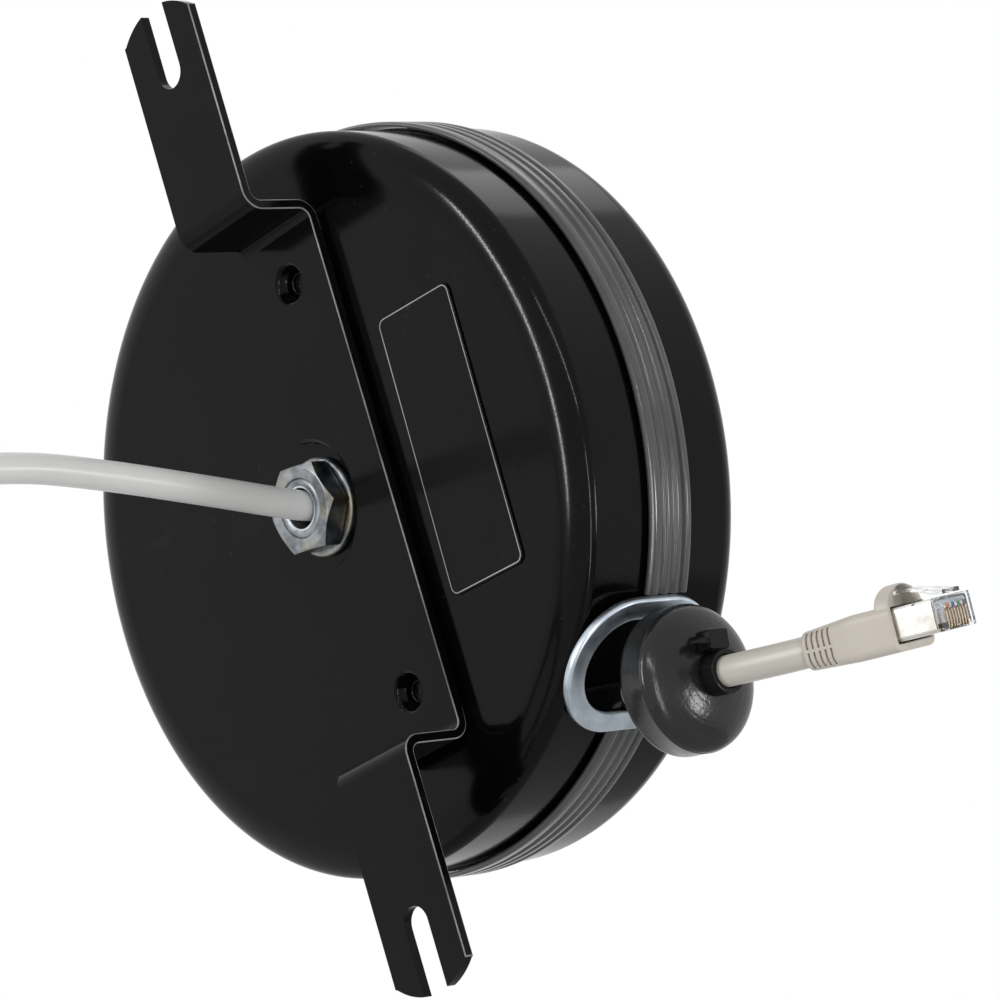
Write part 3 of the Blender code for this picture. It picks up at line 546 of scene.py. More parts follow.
def plated(name, dark, pale, gloss, stain=None, fine=900.0):
    """Bare or plated metal: mottled, with an uneven gloss and sometimes a stain."""
    made, tree, shader = new_finish(name, metallic=1.0)
    grain = effect(tree, GRAIN, Fine=fine, Slow=220.0)
    colour = tone(tree, grain["Patches"], dark, pale)
    if stain:
        patch = ranged(tree, object_noise(tree, 130.0, 3.0), 0.5, 0.68, 0.0, 0.7)
        colour = tone(tree, patch, colour, stain)
    tree.links.new(colour, shader.inputs["Base Color"])
    rough = ranged(tree, grain["Patches"], 0.0, 1.0, *gloss)
    tree.links.new(rough, shader.inputs["Roughness"])
    bump(tree, shader, grain["Height"], 0.08, 0.0001)
    return made


def clear_finish(name, tint, roughness):
    """Clear plastic with a slightly uneven gloss."""
    made, tree, shader = new_finish(name, base_color=tint, transmission_weight=1.0, ior=1.49)
    grain = effect(tree, GRAIN, Fine=500.0, Slow=400.0)
    rough = ranged(tree, grain["Patches"], 0.0, 1.0, roughness * 0.5, roughness)
    tree.links.new(rough, shader.inputs["Roughness"])
    bump(tree, shader, grain["Height"], 0.03, 0.0001)
    return made


PAINT = coated("satin_black_paint", (0.0012, 0.0011, 0.0011), (0.0022, 0.0021, 0.0021), (0.115, 0.145),
               dust=0.10, rub=0.04, height=0.04, ior=1.21)
# A pale colour for the bracket's lit front corner: a painted highlight, flecked with dust.
EDGE_HIGHLIGHT = coated("painted_edge_highlight", (0.012, 0.012, 0.012), (0.34, 0.34, 0.35), (0.30, 0.45), dust=0.9, rub=0.9)
BAND = coated("ribbed_grey_band", (0.040, 0.041, 0.042), (0.066, 0.067, 0.069), (0.15, 0.22),
              dust=0.1, rub=0.3, fine=900.0, ior=1.50)
RUBBER = coated("black_rubber", (0.008, 0.008, 0.008), (0.016, 0.016, 0.016), (0.17, 0.23),
                dust=0.5, rub=0.6, fine=1100.0, height=0.25, ior=1.38)
TIE = coated("black_tie_nylon", (0.005, 0.005, 0.005), (0.008, 0.008, 0.008), (0.12, 0.20),
             dust=0.1, rub=0.1, ior=1.25)
JACKET = coated("cord_jacket", (0.48, 0.46, 0.41), (0.52, 0.50, 0.45), (0.32, 0.42), fine=700.0, height=0.03)
LEAD_JACKET = coated("lead_jacket", (0.62, 0.62, 0.61), (0.68, 0.68, 0.67), (0.30, 0.40),
                     fine=700.0, height=0.03)
BOOT = coated("boot_plastic", (0.50, 0.455, 0.40), (0.54, 0.495, 0.44), (0.42, 0.52),
              fine=1200.0, height=0.06)
NYLON = coated("drum_nylon", (0.050, 0.050, 0.054), (0.065, 0.065, 0.070), (0.40, 0.52))
DISC = coated("disc_plastic", (0.070, 0.072, 0.070), (0.090, 0.092, 0.090), (0.40, 0.50))
LABEL = coated("label_film", (0.005, 0.005, 0.0052), (0.0060, 0.0060, 0.0062), (0.10, 0.13),
               dust=0.12, rub=0.12, height=0.02, ior=1.18)
LINE = coated("label_line", (0.20, 0.20, 0.20), (0.46, 0.46, 0.46), (0.30, 0.40))
ZINC = plated("zinc_plate", (0.36, 0.41, 0.46), (0.56, 0.62, 0.68), (0.30, 0.42), fine=1400.0)
STAINED_ZINC = plated("stained_zinc", (0.07, 0.078, 0.084), (0.34, 0.36, 0.38), (0.30, 0.46),
                      stain=(0.30, 0.26, 0.17))
STEEL = plated("plain_steel", (0.36, 0.36, 0.37), (0.50, 0.50, 0.51), (0.28, 0.42))
SHIELD = plated("plug_shield_plate", (0.66, 0.65, 0.60), (0.88, 0.87, 0.82), (0.20, 0.34))
SPRING_STEEL = plated("spring_steel", (0.14, 0.15, 0.18), (0.22, 0.23, 0.26), (0.22, 0.36))
BRONZE = plated("bronze_bush", (0.40, 0.24, 0.11), (0.52, 0.32, 0.15), (0.30, 0.42))
GOLD = plated("contact_gold", (0.66, 0.46, 0.30), (0.82, 0.64, 0.46), (0.16, 0.28))
CARRIER = coated("wire_bar_plastic", (0.50, 0.54, 0.60), (0.62, 0.65, 0.70), (0.30, 0.40))
CLEAR = clear_finish("clear_plastic", (0.93, 0.96, 0.98), 0.10)
WIRES = {
    name: coated("wire_" + name, tuple(c * 0.85 for c in colour), colour, (0.30, 0.40))
    for name, colour in (
        ("orange", (0.80, 0.16, 0.03)),
        ("green", (0.05, 0.30, 0.09)),
        ("blue", (0.04, 0.10, 0.42)),
        ("brown", (0.17, 0.06, 0.02)),
        ("white", (0.78, 0.78, 0.76)),
    )
}
WIRE_ORDER = ("white", "orange", "white", "blue", "white", "green", "white", "brown")

NODE_FINISHES = (
    (ZINC, ("hollow_axle", "rear_bolt")),
    (STEEL, ("pawl_pin", "pawl", "ratchet_wheel", "spring_cover")),
    (SPRING_STEEL, ("retaining_clip", "power_spring", "pawl_spring")),
    (NYLON, ("brush_block", "drum_hub", "drum_front_flange", "drum_rear_flange")),
    (BRONZE, ("front_bush", "rear_bush")),
    (DISC, ("contact_disc",)),
    (GOLD, [f"contact_track_{i}" for i in range(1, 9)]),
)


def finish_nodes():
    """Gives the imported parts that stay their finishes."""
    for finish, names in NODE_FINISHES:
        for name in names:
            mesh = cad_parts[name].data
            mesh.materials.clear()
            mesh.materials.append(finish)


def fit(piece, body, slot, *nodes):
    """Puts a piece on its body and in the place of its nodes. The slot is not used."""
    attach(piece, body)
    if nodes:
        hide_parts(*nodes)
    return piece


# ---------- cords


def working_cord_route():
    """The working cord from the outlet to its boot, and the boot's placement."""
    boot_start = Vector((-0.0957, -0.0405, -0.0669))
    boot_out = Vector((-0.9693, -0.1970, -0.1470)).normalized()
    boot_across = (boot_out * boot_out.y - Vector((0, 1, 0))).normalized()
    boot_up = boot_out.cross(boot_across)
    roll = Matrix.Rotation(math.radians(5.7), 3, boot_out)
    place = axes_at(boot_start, boot_out, roll @ boot_across, roll @ boot_up)
    end = boot_start - boot_out * GAP
    knots = [CORD_START + CORD_OUT * s for s in (CORD_LEAVES, 0.0725, 0.0860)]
    knots += [CORD_START + CORD_OUT * 0.0905 + Vector((0, -0.0003, 0)), end - boot_out * 0.0060, end]
    return smooth_route(knots, 0.0010), place


def coil_route():
    """Spirals in on one layer, climbs in the half turn where it reverses, and spirals out."""
    per_turn = 48
    count = round(COIL_TURNS * per_turn)
    half = count / 2
    points = []
    for i in range(count + 1):
        angle = COIL_START + 2 * math.pi * i / per_turn
        r = COIL_OUTER - COIL_PITCH * (half - abs(i - half)) / per_turn
        climb = min(max((i - half) / (per_turn / 2) + 0.5, 0.0), 1.0)
        climb = climb * climb * (3 - 2 * climb)
        y = LEAD_Y + COIL_PITCH * climb
        points.append(Vector((COIL_CENTRE[0] - r * math.cos(angle), y, COIL_CENTRE[1] - r * math.sin(angle))))
    return points


def lead_route():
    """The input lead from inside the bore, through its coil, to its boot."""
    coil = coil_route()
    into = Vector((math.sin(COIL_START), 0, -math.cos(COIL_START)))
    last = COIL_START + 2 * math.pi * COIL_TURNS
    away = Vector((math.sin(last), 0, -math.cos(last)))
    coil_in = coil[0] - into * CORD_DIAMETER
    coil_out = coil[-1] + away * CORD_DIAMETER
    knots = [
        (0, -0.0240, -0.0003), (0, -0.0180, 0.0001), (0, -0.0115, 0.0008), (0, 0.0117, 0.0053),
        (0, 0.0351, 0.0096), (0.0002, 0.0532, 0.0120), (0.0018, 0.0700, 0.0122), (0.0055, 0.0860, 0.0085),
        (0.0105, 0.0985, 0.0000), (0.0148, 0.1065, -0.0120), (0.0160, 0.1098, -0.0250),
    ]
    end = coil_in - into * GAP
    knots += [tuple(end - into * 0.0040), tuple(end)]
    start = coil_out + away * GAP
    tail_end = Vector((0.0205, start.y, -0.1300))
    low = tail_end + Vector((0, 0, 0.0060))
    tail = smooth_route([start, start + away * 0.0040, (0.0175, start.y, -0.1175), low, tail_end], 0.0020)
    place = axes_at(tail_end + Vector((0, 0, -GAP)), (0, 0, -1), (1, 0, 0), (0, -1, 0))
    return smooth_route(knots, 0.0020) + coil + tail, place


cord_points, cord_plug_place = working_cord_route()
lead_points, lead_plug_place = lead_route()

cord = tube("working_cord", cord_points, CORD_DIAMETER, JACKET, 32)
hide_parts("cord_end")
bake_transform(cord)

lead = fit(tube("input_lead_cord", lead_points, CORD_DIAMETER, LEAD_JACKET), "housing", "cord_jacket",
           "input_lead", "lead_coil", "lead_tail")


# ---------- plug, boot and latch


def half_ellipse(reach, height, base):
    """An arch outline standing on its base line."""
    return [(reach * u, base + height * v) for u, v in arc((0, 0), 1, 0, 180, 33)]


def rectangle(left, right, low, high):
    """The corners of a plain rectangle."""
    return [(left, low), (right, low), (right, high), (left, high)]


def flared(name, outline_at, start, end, flare, put):
    """A cutting tool drawn out to its end, that widens softly over its last part."""
    stations = [(start, 0.0), (end - 2.2 * flare, 0.0), (end - 1.2 * flare, 0.12 * flare)]
    stations += [(end - 0.5 * flare, 0.45 * flare), (end, flare), (end + 0.0100, flare)]
    return skin(name, [[put @ Vector((u, v, x)) for u, v in outline_at(grow)] for x, grow in stations])


def plug_boot(prefix, put, put_raised):
    """The moulded boot: ribbed strain relief, sleeve and the hood over the latch."""

    def section(x, scale):
        grow = min(x / BOOT_FULL_AT, 1.0)
        width, low, high = [a + (b - a) * grow for a, b in zip(BOOT_NECK, BOOT_MOUTH)]
        middle = (low + high) / 2
        outline = rounded_box(width * scale, (high - low) * scale, 0.0018 + 0.0008 * (1 - grow), 8)
        return [put @ Vector((u, v + middle, x)) for u, v in outline]

    ribs = [0.0012 + 0.00142 * i for i in range(5)]
    stations = [(0, 0.90), (0.0001, 0.95), (0.0003, 0.985), (0.0006, 1)]
    for x in ribs:
        stations += [(x - 0.00018, 1), (x - 0.00002, 0.975), (x + 0.00052, 0.975), (x + 0.00068, 1)]
    stations += [(x, 1) for x in (0.0085, 0.0095, 0.0110, 0.0130, 0.0160, 0.0190, 0.0214)]
    stations += [(0.0217, 0.992), (0.0219, 0.975), (BOOT_LENGTH, 0.95)]
    boot = skin(prefix + "_boot_cover", [section(x, scale) for x, scale in stations], BOOT)

    hood_end = BOOT_LENGTH - 0.0003
    hood = []
    insets = [(0, 0.0005), (0.00015, 0.00022), (0.0005, 0), (0.0029, 0), (0.00325, 0.0002)]
    insets.append((HOOD_LENGTH, 0.0005))
    for x, inset in insets:
        arch = half_ellipse(HOOD_OUTER[0] - inset, HOOD_OUTER[1] - inset, HOOD_BASE - 0.0002)
        hood.append([put @ Vector((u, v, hood_end - HOOD_LENGTH + x)) for u, v in arch])
    shape(boot, skin("hood_tool", hood), "UNION")
    pocket_start = hood_end - HOOD_DEPTH

    def pocket(grow):
        return half_ellipse(HOOD_INNER[0] + grow, HOOD_INNER[1] + grow, HOOD_BASE + 0.0001)

    shape(boot, flared("pocket_tool", pocket, pocket_start, hood_end, 0.0003, put))

    def cavity(grow):
        return rounded_box(PLUG_WIDTH + 2 * (GAP + grow), PLUG_HEIGHT + 2 * (GAP + grow), 0.0005 + grow)

    shape(boot, flared("cavity_tool", cavity, 0.0150, BOOT_LENGTH, 0.0002, put_raised))
    for x in ribs:
        half = (BOOT_NECK[0] + (BOOT_MOUTH[0] - BOOT_NECK[0]) * x / BOOT_FULL_AT) / 2
        for side in (1, -1):
            for lift in (1, -1):
                outline = [(half - 0.0013, 0.00028), (0.0090, 0.00028), (0.0090, 0.0046)]
                outline += [(half - 0.0020, 0.0032), (half - 0.0018, 0.0022)]
                outline = [(side * u, lift * v) for u, v in outline]
                shape(boot, extruded("slot_tool", outline, x, x + 0.00050, put))
    return even_shading(boot, 40)


def plug_shield(prefix, put):
    """The folded metal shield, with its latch opening and a short slot on each side of it."""
    outer = rounded_box(PLUG_WIDTH, PLUG_HEIGHT, 0.0009)
    inner = rounded_box(PLUG_WIDTH - 2 * SHEET_WALL, PLUG_HEIGHT - 2 * SHEET_WALL, 0.00055)
    shield = walled(prefix + "_shield_sheet", outer, inner, 0.0153, SHIELD_END, put, SHIELD)
    cuts = [((-0.0033, 0.0033, 0.0, 0.0060), 0.0225, 0.0320)]
    cuts += [((s * 0.0030, s * 0.0062, 0.0026, 0.0060), 0.0262, 0.0268) for s in (1, -1)]
    for sides, start, end in cuts:
        shape(shield, extruded("fold_tool", rectangle(*sides), start, end, put))
    return soften(shield, 0.00008, 2, 40)


def plug_nose(prefix, put):
    """The clear plastic body, slit for its contacts."""
    core = rounded_box(PLUG_WIDTH - 0.0013, PLUG_HEIGHT - 0.0013, 0.0003)
    nose = rounded_box(PLUG_WIDTH, PLUG_HEIGHT, 0.0004)
    nose_start = SHIELD_END + GAP
    rows = ((0.0215, core), (nose_start, core), (nose_start, nose), (PLUG_END, nose))
    clear = skin(prefix + "_plug_nose", [[put @ Vector((u, v, x)) for u, v in row] for x, row in rows],
                 CLEAR, sharp=20)
    for middle in CONTACT_PLACES:
        slit = rectangle(middle - 0.00032, middle + 0.00032, -0.0040, -0.0019)
        shape(clear, extruded("slit_tool", slit, nose_start + 0.0002, 0.0340, put))
    return soften(clear, 0.00009, 2, 40)


def contact_blades(prefix, put):
    """Eight gold plated blades, standing in the slits of the nose."""
    blades = bmesh.new()
    base = -PLUG_HEIGHT / 2
    start, end = SHIELD_END + 0.0005, PLUG_END - 0.00012
    outline = [(start, base + 0.0003), (end - 0.0003, base + 0.0003), (end, base + 0.0006)]
    outline += [(end, base + 0.0036), (end - 0.0004, base + 0.0040), (start, base + 0.0040)]
    for middle in CONTACT_PLACES:
        faces = (middle - 0.00021, middle + 0.00021)
        add_body(blades, [[put @ Vector((across, z, x)) for x, z in outline] for across in faces])
    return make(prefix + "_contact_blades", blades, GOLD)


def plug_set(prefix, body, latch_body, place):
    """A boot, shielded plug, contacts, wires and latch: x out, y across, z up in place."""
    lift = axes_at((0, 0, 0), (0, 1, 0), (0, 0, 1), (1, 0, 0))
    put = place @ lift
    put_raised = place @ Matrix.Translation((0, 0, PLUG_LIFT)) @ lift
    boot = fit(plug_boot(prefix, put, put_raised), body, "boot_plastic", prefix + "_boot")
    shield = fit(plug_shield(prefix, put_raised), body, "plain_steel", prefix + "_plug_shield")
    clear = fit(plug_nose(prefix, put_raised), body, "clear_plastic", prefix + "_plug_body")
    contacts = fit(contact_blades(prefix, put_raised), body, "contact_gold", prefix + "_plug_contacts")

    outline = [(u, v + 0.0004) for u, v in rounded_box(PLUG_WIDTH - 0.0022, 0.0042, 0.0004)]
    bar = extruded(prefix + "_wire_bar", outline, 0.0216, 0.0306, put_raised, CARRIER)
    fit(soften(bar, 0.0002), body, "clear_plastic")
    for i, (across, colour) in enumerate(zip(CONTACT_PLACES, WIRE_ORDER), 1):
        bend = [(across * 0.9, 0.0004, 0.0218), (across, 0.0010, 0.0262), (across, 0.0013, PLUG_END - 0.0003)]
        route = [put_raised @ Vector(p) for p in bend]
        wire = tube(f"{prefix}_wire_{i}", route, WIRE_DIAMETER, WIRES[colour], 12)
        fit(wire, body, "clear_plastic")

    top = PLUG_LIFT + PLUG_HEIGHT / 2 + GAP
    spine = [(PLUG_END - 0.0002, top, 0.0062), (PLUG_END - 0.0018, top + 0.0002, 0.0062)]
    spine += [(PLUG_END - 0.0034, top + 0.0006, 0.0062), (PLUG_END - 0.0050, top + 0.0011, 0.0036)]
    spine += [(0.0240, top + 0.0017, 0.0035), (0.0203, top + 0.0020, 0.0034)]
    loops = []
    for x, z, width in spine:
        arm = rounded_box(width, 0.0008, 0.00025, 4)
        loops.append([put @ Vector((u, v + z + 0.0004, x)) for u, v in arm])
    latch = skin(prefix + "_latch_arm", loops, CLEAR)
    fit(latch, latch_body, "clear_plastic", prefix + "_plug_latch")
    return [boot, shield, clear, contacts, latch]


cord_plug = plug_set("cord", "cord_end", "cord_latch", cord_plug_place)
lead_plug = plug_set("lead", "housing", "lead_latch", lead_plug_place)


# ---------- stop and ties


def strap(name, place, inner, thick, width, head=None, tail=None):
    """A strap closed round a cord or bundle, with its locking head and cut tail."""
    loops = []
    for i, (u, v) in enumerate(inner):
        before, after = Vector(inner[i - 1]), Vector(inner[(i + 1) % len(inner)])
        run = (after - before).normalized()
        p, q = u + run.y * thick, v - run.x * thick
        row = ((u, v, -width / 2), (p, q, -width / 2), (p, q, width / 2), (u, v, width / 2))
        loops.append([place @ Vector(corner) for corner in row])
    made = skin(name, loops, TIE, ring=True)
    for block in (head, tail):
        if block:
            (u, v), (wide, high, deep) = block
            outline = [(u + a, v + b) for a, b in rounded_box(wide, high, 0.0004, 3)]
            shape(made, extruded("block_tool", outline, -deep / 2, deep / 2, place), "UNION")
    return soften(made, 0.00018, 2, 40)


def cord_stop():
    """The rubber stop: a short cylinder with a moulding line, and a domed front with turning marks."""
    bore = CORD_DIAMETER / 2 + GAP
    back, front = STOP_FRONT - STOP_THICKNESS, STOP_FRONT
    outline = [(bore, back), (STOP_RADIUS - 0.0022, back)]
    outline += arc((STOP_RADIUS - 0.0018, back + 0.0018), 0.0018, -80, 0, 9)
    outline += [(STOP_RADIUS, front - 0.0004), (STOP_RADIUS + 0.00010, front - 0.0002)]
    outline += [(STOP_RADIUS + 0.00010, front - 0.00005), (STOP_RADIUS - 0.00005, front + 0.0002)]
    bore_turn = math.acos((bore + 0.0003) / STOP_RADIUS)
    marks = 64
    for i in range(2, marks + 1):
        angle = bore_turn * i / marks
        groove = 0.000012 * (i % 2) + 0.00002 * (i % 7 == 0)
        outline.append((STOP_RADIUS * math.cos(angle), front + STOP_CROWN * math.sin(angle) - groove))
    outline.append((bore, outline[-1][1] - 0.0004))
    to_cord = CORD_PLACE @ Matrix.Rotation(math.radians(90), 4, "X")
    rubber = turned("cord_stop_rubber", outline, RUBBER, place=to_cord, sharp=50)
    return fit(rubber, "cord_end", "black_rubber", "rubber_stop")


stop = cord_stop()
tie_inner = arc((0, 0), CORD_DIAMETER / 2 + 0.0002, 0, 352.5, 48)
cord_tie = strap("cord_tie_strap", CORD_PLACE @ Matrix.Translation((0, 0, TIE_AT)), tie_inner, 0.0011, 0.0035,
                 ((0.0012, 0.0063), (0.0050, 0.0038, 0.0038)), ((0.0044, 0.0062), (0.0036, 0.0011, 0.0028)))
fit(cord_tie, "cord_end", "tie_nylon", "cable_tie")
bundle = Vector((COIL_CENTRE[0], LEAD_Y + COIL_PITCH / 2, COIL_CENTRE[1] + 0.03315))
coil_strap = strap("coil_tie_strap", axes_at(bundle, (0, 1, 0), (0, 0, 1), (1, 0, 0)),
                   rounded_box(0.0138, 0.0140, 0.0030, 8), 0.0011, 0.0045,
                   ((0.0010, 0.0086), (0.0060, 0.0036, 0.0060)), ((0.0045, 0.0084), (0.0040, 0.0011, 0.0040)))
fit(coil_strap, "housing", "tie_nylon", "coil_tie")


# ---------- housing


def shoulder(radius, edge_y, reach, outward, count=16):
    """The rounded rim of a dish, from its side up to its face."""
    across, down = reach
    quarter = arc((0, 0), 1, 0, 90, count)
    return [(radius - across + across * c, edge_y - outward * (down - down * s)) for c, s in quarter]


def shell(name, radius, face_y, reach, hole, outward, mouth_y):
    """A dish with its outlet opening: outward is +1 when its face looks along +Y."""
    outer = shoulder(radius, face_y, reach, outward)
    inner_reach = (reach[0] - SHELL_WALL * 0.4, reach[1] - SHELL_WALL * 0.4)
    inner = shoulder(radius - SHELL_WALL, face_y - outward * SHELL_WALL, inner_reach, outward, 8)
    rings = [hole + (radius - reach[0] - hole) * i / 4 for i in range(4)]
    sides = [mouth_y + (outer[0][1] - mouth_y) * i / 4 for i in range(4)]
    outline = [(radius, y) for y in sides] + outer + [(r, face_y) for r in rings[::-1]]
    outline += [(hole, face_y - outward * SHELL_WALL), *inner[::-1], (radius - SHELL_WALL, mouth_y)]
    dish = turned(name, outline, PAINT, 192, sharp=40)
    opening = [(u - 0.0007, v) for u, v in obround(OUTLET_LENGTH - 0.0074, OUTLET_WIDTH - 0.0019, 24)]
    return even_shading(shape(dish, extruded("outlet_tool", opening, 0.055, 0.085, OUTLET_PLACE)), 40)


def housing():
    """The two shells and the ribbed band round their seam."""
    front = shell("front_shell_skin", FRONT_RADIUS, FACE_Y, FRONT_SHOULDER, AXLE_RADIUS + GAP, 1, SEAM_Y)
    fit(front, "housing", "satin_black_paint", "front_shell")
    rear = shell("rear_shell_skin", REAR_RADIUS, REAR_Y, REAR_SHOULDER, 0.0024, -1, SEAM_Y - GAP)
    fit(rear, "housing", "satin_black_paint", "rear_shell")

    inner = REAR_RADIUS + GAP
    width = BAND_REAR_Y - BAND_FRONT_Y
    outline = [(inner, BAND_FRONT_Y), (BAND_RADIUS - 0.0006, BAND_FRONT_Y)]
    ridges = ((0.03, 0.29), (0.355, 0.525), (0.59, 0.76), (0.825, 0.97))
    points = 12
    for start, end in ridges:
        for j in range(points + 1):
            share = j / points
            crown = 1 - (2 * share - 1) ** 4
            spot = start + (end - start) * share
            outline.append((BAND_RADIUS - 0.00050 + 0.00050 * crown, BAND_FRONT_Y + width * spot))
    outline += [(BAND_RADIUS - 0.0006, BAND_REAR_Y), (inner, BAND_REAR_Y)]
    middle = math.pi + OUTLET_TURN
    sweep = (middle + BAND_OPENING / 2, middle - BAND_OPENING / 2 + 2 * math.pi)
    band = turned("ribbed_band", outline, BAND, 240, sweep=sweep, sharp=60)
    fit(band, "housing", "trim_grey", "trim_band")


def bracket():
    """The bent strip with its open slots, notch and dimples, and its two rivets."""
    back_y = STRIP_Y - STRIP_THICKNESS
    inner_bend = BEND_OUTER - STRIP_THICKNESS
    spare = 0.001
    top = EAR_APEX_Z + spare
    ear = (-BEND_OUTER, RISER_Z + BEND_OUTER)
    foot = (STRIP_Y + inner_bend, RISER_Z - inner_bend)
    front = [(0, top), *arc(ear, BEND_OUTER, 0, -90, 12), *arc(foot, inner_bend, 90, 180, 10)]
    back = [(-STRIP_THICKNESS, top), *arc(ear, inner_bend, 0, -90, 10), *arc(foot, BEND_OUTER, 90, 180, 12)]
    side = front + [(y, -z) for y, z in front[::-1]] + [(y, -z) for y, z in back] + back[::-1]
    right = STRIP_CENTRE_X - STRIP_WIDTH / 2
    left = STRIP_CENTRE_X + STRIP_WIDTH / 2
    strip = extruded("bracket_strip", side, right, left, ALONG_X, PAINT)

    end_centre = (STRIP_CENTRE_X, EAR_APEX_Z - EAR_END_RADIUS)
    reach = math.degrees(math.asin(STRIP_WIDTH / 2 / EAR_END_RADIUS))
    lip = math.degrees(math.asin(SLOT_WIDTH / 2 / EAR_END_RADIUS))
    slot_centre = (STRIP_CENTRE_X, SLOT_BOTTOM_Z + SLOT_WIDTH / 2)
    end = arc(end_centre, EAR_END_RADIUS, 90 - reach, 90 - lip, 12)
    end += arc(slot_centre, SLOT_WIDTH / 2, 0, -180, 24)
    end += arc(end_centre, EAR_END_RADIUS, 90 + lip, 90 + reach, 12)
    plan = end + [(x, -z) for x, z in end[::-1]]
    plan = [(x + spare if x > left - 1e-6 else x - spare if x < right + 1e-6 else x, z) for x, z in plan]
    shape(strip, extruded("plan_tool", plan, -0.022, 0.002, ALONG_Y), "INTERSECT")
    roll = 0.0008
    notch = [(0, -0.022), (NOTCH_RADIUS, -0.022), (NOTCH_RADIUS, STRIP_Y - roll)]
    notch += [(NOTCH_RADIUS + roll * (1 - math.cos(a)), STRIP_Y - roll + roll * math.sin(a))
              for a in (0.3, 0.6, 0.9, 1.2, 1.5)]
    notch += [(NOTCH_RADIUS + roll, -0.010), (0, -0.010)]
    shape(strip, turned("notch_tool", notch))
    for side_z in (1, -1):
        place = Matrix.Translation((RIVET_X, 0, side_z * RIVET_Z))
        seat = FACE_Y + GAP
        bump_outline = [(0, STRIP_Y - 0.0010), (0.0062, STRIP_Y - 0.0010), (0.0062, back_y)]
        bump_outline += [(0.0048, seat), (0, seat)]
        shape(strip, turned("seat_tool", bump_outline, steps=48, place=place), "UNION")
        funnel = [(0, STRIP_Y + 0.001), (DIMPLE_RADIUS + 0.0012, STRIP_Y + 0.001)]
        for share in (0.02, 0.10, 0.25, 0.45, 0.70, 1.0):
            funnel.append((DIMPLE_RADIUS + 0.0009 * (1 - share) ** 1.6, STRIP_Y - 0.0011 * share**1.5))
        funnel += [(0.0029, STRIP_Y - 0.0019), (RIVET_RADIUS + GAP, STRIP_Y - 0.0022)]
        funnel += [(RIVET_RADIUS + GAP, -0.021), (0, -0.021)]
        shape(strip, turned("dimple_tool", funnel, steps=48, place=place))
        shell_back = FACE_Y - SHELL_WALL - GAP
        rivet = [(RIVET_BORE, -0.0215), (0.0036, -0.0215), (0.0036, shell_back), (RIVET_RADIUS, shell_back)]
        rivet += [(RIVET_RADIUS, -0.0184)] + arc((RIVET_RADIUS - 0.0003, -0.0184), 0.0003, 0, 180, 7)
        where = "upper" if side_z > 0 else "lower"
        piece = turned("rivet_tube_" + where, rivet, PAINT, 40, place)
        fit(piece, "housing", "satin_black_paint", "bracket_rivet_" + where)

    def clear_of_round_parts(spot):
        """Away from the dimples and the notch, whose edges are rolled already."""
        at_notch = math.hypot(spot.x, spot.z) < NOTCH_RADIUS + 0.0018
        at_dimple = math.hypot(spot.x - RIVET_X, abs(spot.z) - RIVET_Z) < 0.0072
        return not at_notch and not at_dimple

    def lit_corner(spot):
        """The front corner on the label's side, where a highlight is painted into the colour."""
        return abs(spot.x - right) < 0.0002 and (spot.y > STRIP_Y - 0.0002 or abs(spot.z) > RISER_Z - 0.004)

    # The lit corner's narrow rounding takes the pale colour, which is a painted highlight.
    soften(strip, 0.00022, 2, 35, lit_corner, EDGE_HIGHLIGHT)
    soften(strip, 0.00032, 3, 35, lambda spot: clear_of_round_parts(spot) and not lit_corner(spot))
    fit(strip, "housing", "satin_black_paint", "mounting_bracket")


def axle():
    """The washer, the nut and the threaded end of the axle."""
    washer_y = FACE_Y + WASHER_THICKNESS
    washer = [(AXLE_RADIUS + GAP, washer_y), (0.0089, washer_y)]
    washer += arc((WASHER_RADIUS - 0.0007, FACE_Y + 0.0009), 0.0007, 90, 0, 6)
    washer += [(WASHER_RADIUS, FACE_Y + GAP), (AXLE_RADIUS + GAP, FACE_Y + GAP)]
    fit(turned("washer_disc", washer, STAINED_ZINC), "housing", "zinc_plate", "axle_washer")

    corner = NUT_ACROSS_FLATS / 2 / math.cos(math.radians(30))
    back_y, front_y = washer_y + GAP, NUT_FRONT_Y
    hexagon = [(corner * math.sin(NUT_TURN + a), corner * math.cos(NUT_TURN + a))
               for a in (math.radians(60 * i) for i in range(6))]
    nut = extruded("hexagon_nut", hexagon, back_y, front_y, ALONG_Y, STAINED_ZINC)
    flat = NUT_ACROSS_FLATS / 2
    crown = [(0, back_y - 0.001), (corner + 0.002, back_y - 0.001), (corner + 0.002, front_y - 0.0014)]
    crown += [(corner, front_y - 0.0008), (flat * 0.985, front_y - 0.00005), (flat * 0.96, front_y)]
    crown += [(flat * 0.94, front_y + 0.001), (0, front_y + 0.001)]
    shape(nut, turned("crown_tool", crown), "INTERSECT")
    bore = AXLE_RADIUS + 0.00006
    mouth = bore + 0.0003
    hole = [(0, back_y - 0.001), (bore, back_y - 0.001), (bore, front_y - 0.0002)]
    hole += [(mouth, front_y + 0.0001), (mouth, 0.0), (0, 0.0)]
    shape(nut, turned("hole_tool", hole, steps=72))
    soften(nut, 0.00018, 3, 22)
    fit(nut, "housing", "zinc_plate", "axle_nut")

    bore, front, back = AXLE_BORE - 0.00004, AXLE_FRONT_Y + 0.00006, -0.0182
    root = AXLE_RADIUS - THREAD_DEPTH
    sleeve = [(bore, back), (bore, front - 0.0005), (bore + 0.00015, front - 0.0002)]
    sleeve += [(bore + 0.0005, front), (root, front)]
    y = front - 0.0002
    while y > back + 0.0007:
        sleeve += [(AXLE_RADIUS, y), (root, y - THREAD_PITCH / 2)]
        y -= THREAD_PITCH
    sleeve.append((root, back))
    sleeve = [(r if r < 0.0050 else r + 0.00004, y) for r, y in sleeve]
    fit(turned("axle_thread", sleeve, STAINED_ZINC, 72), "housing", "zinc_plate")


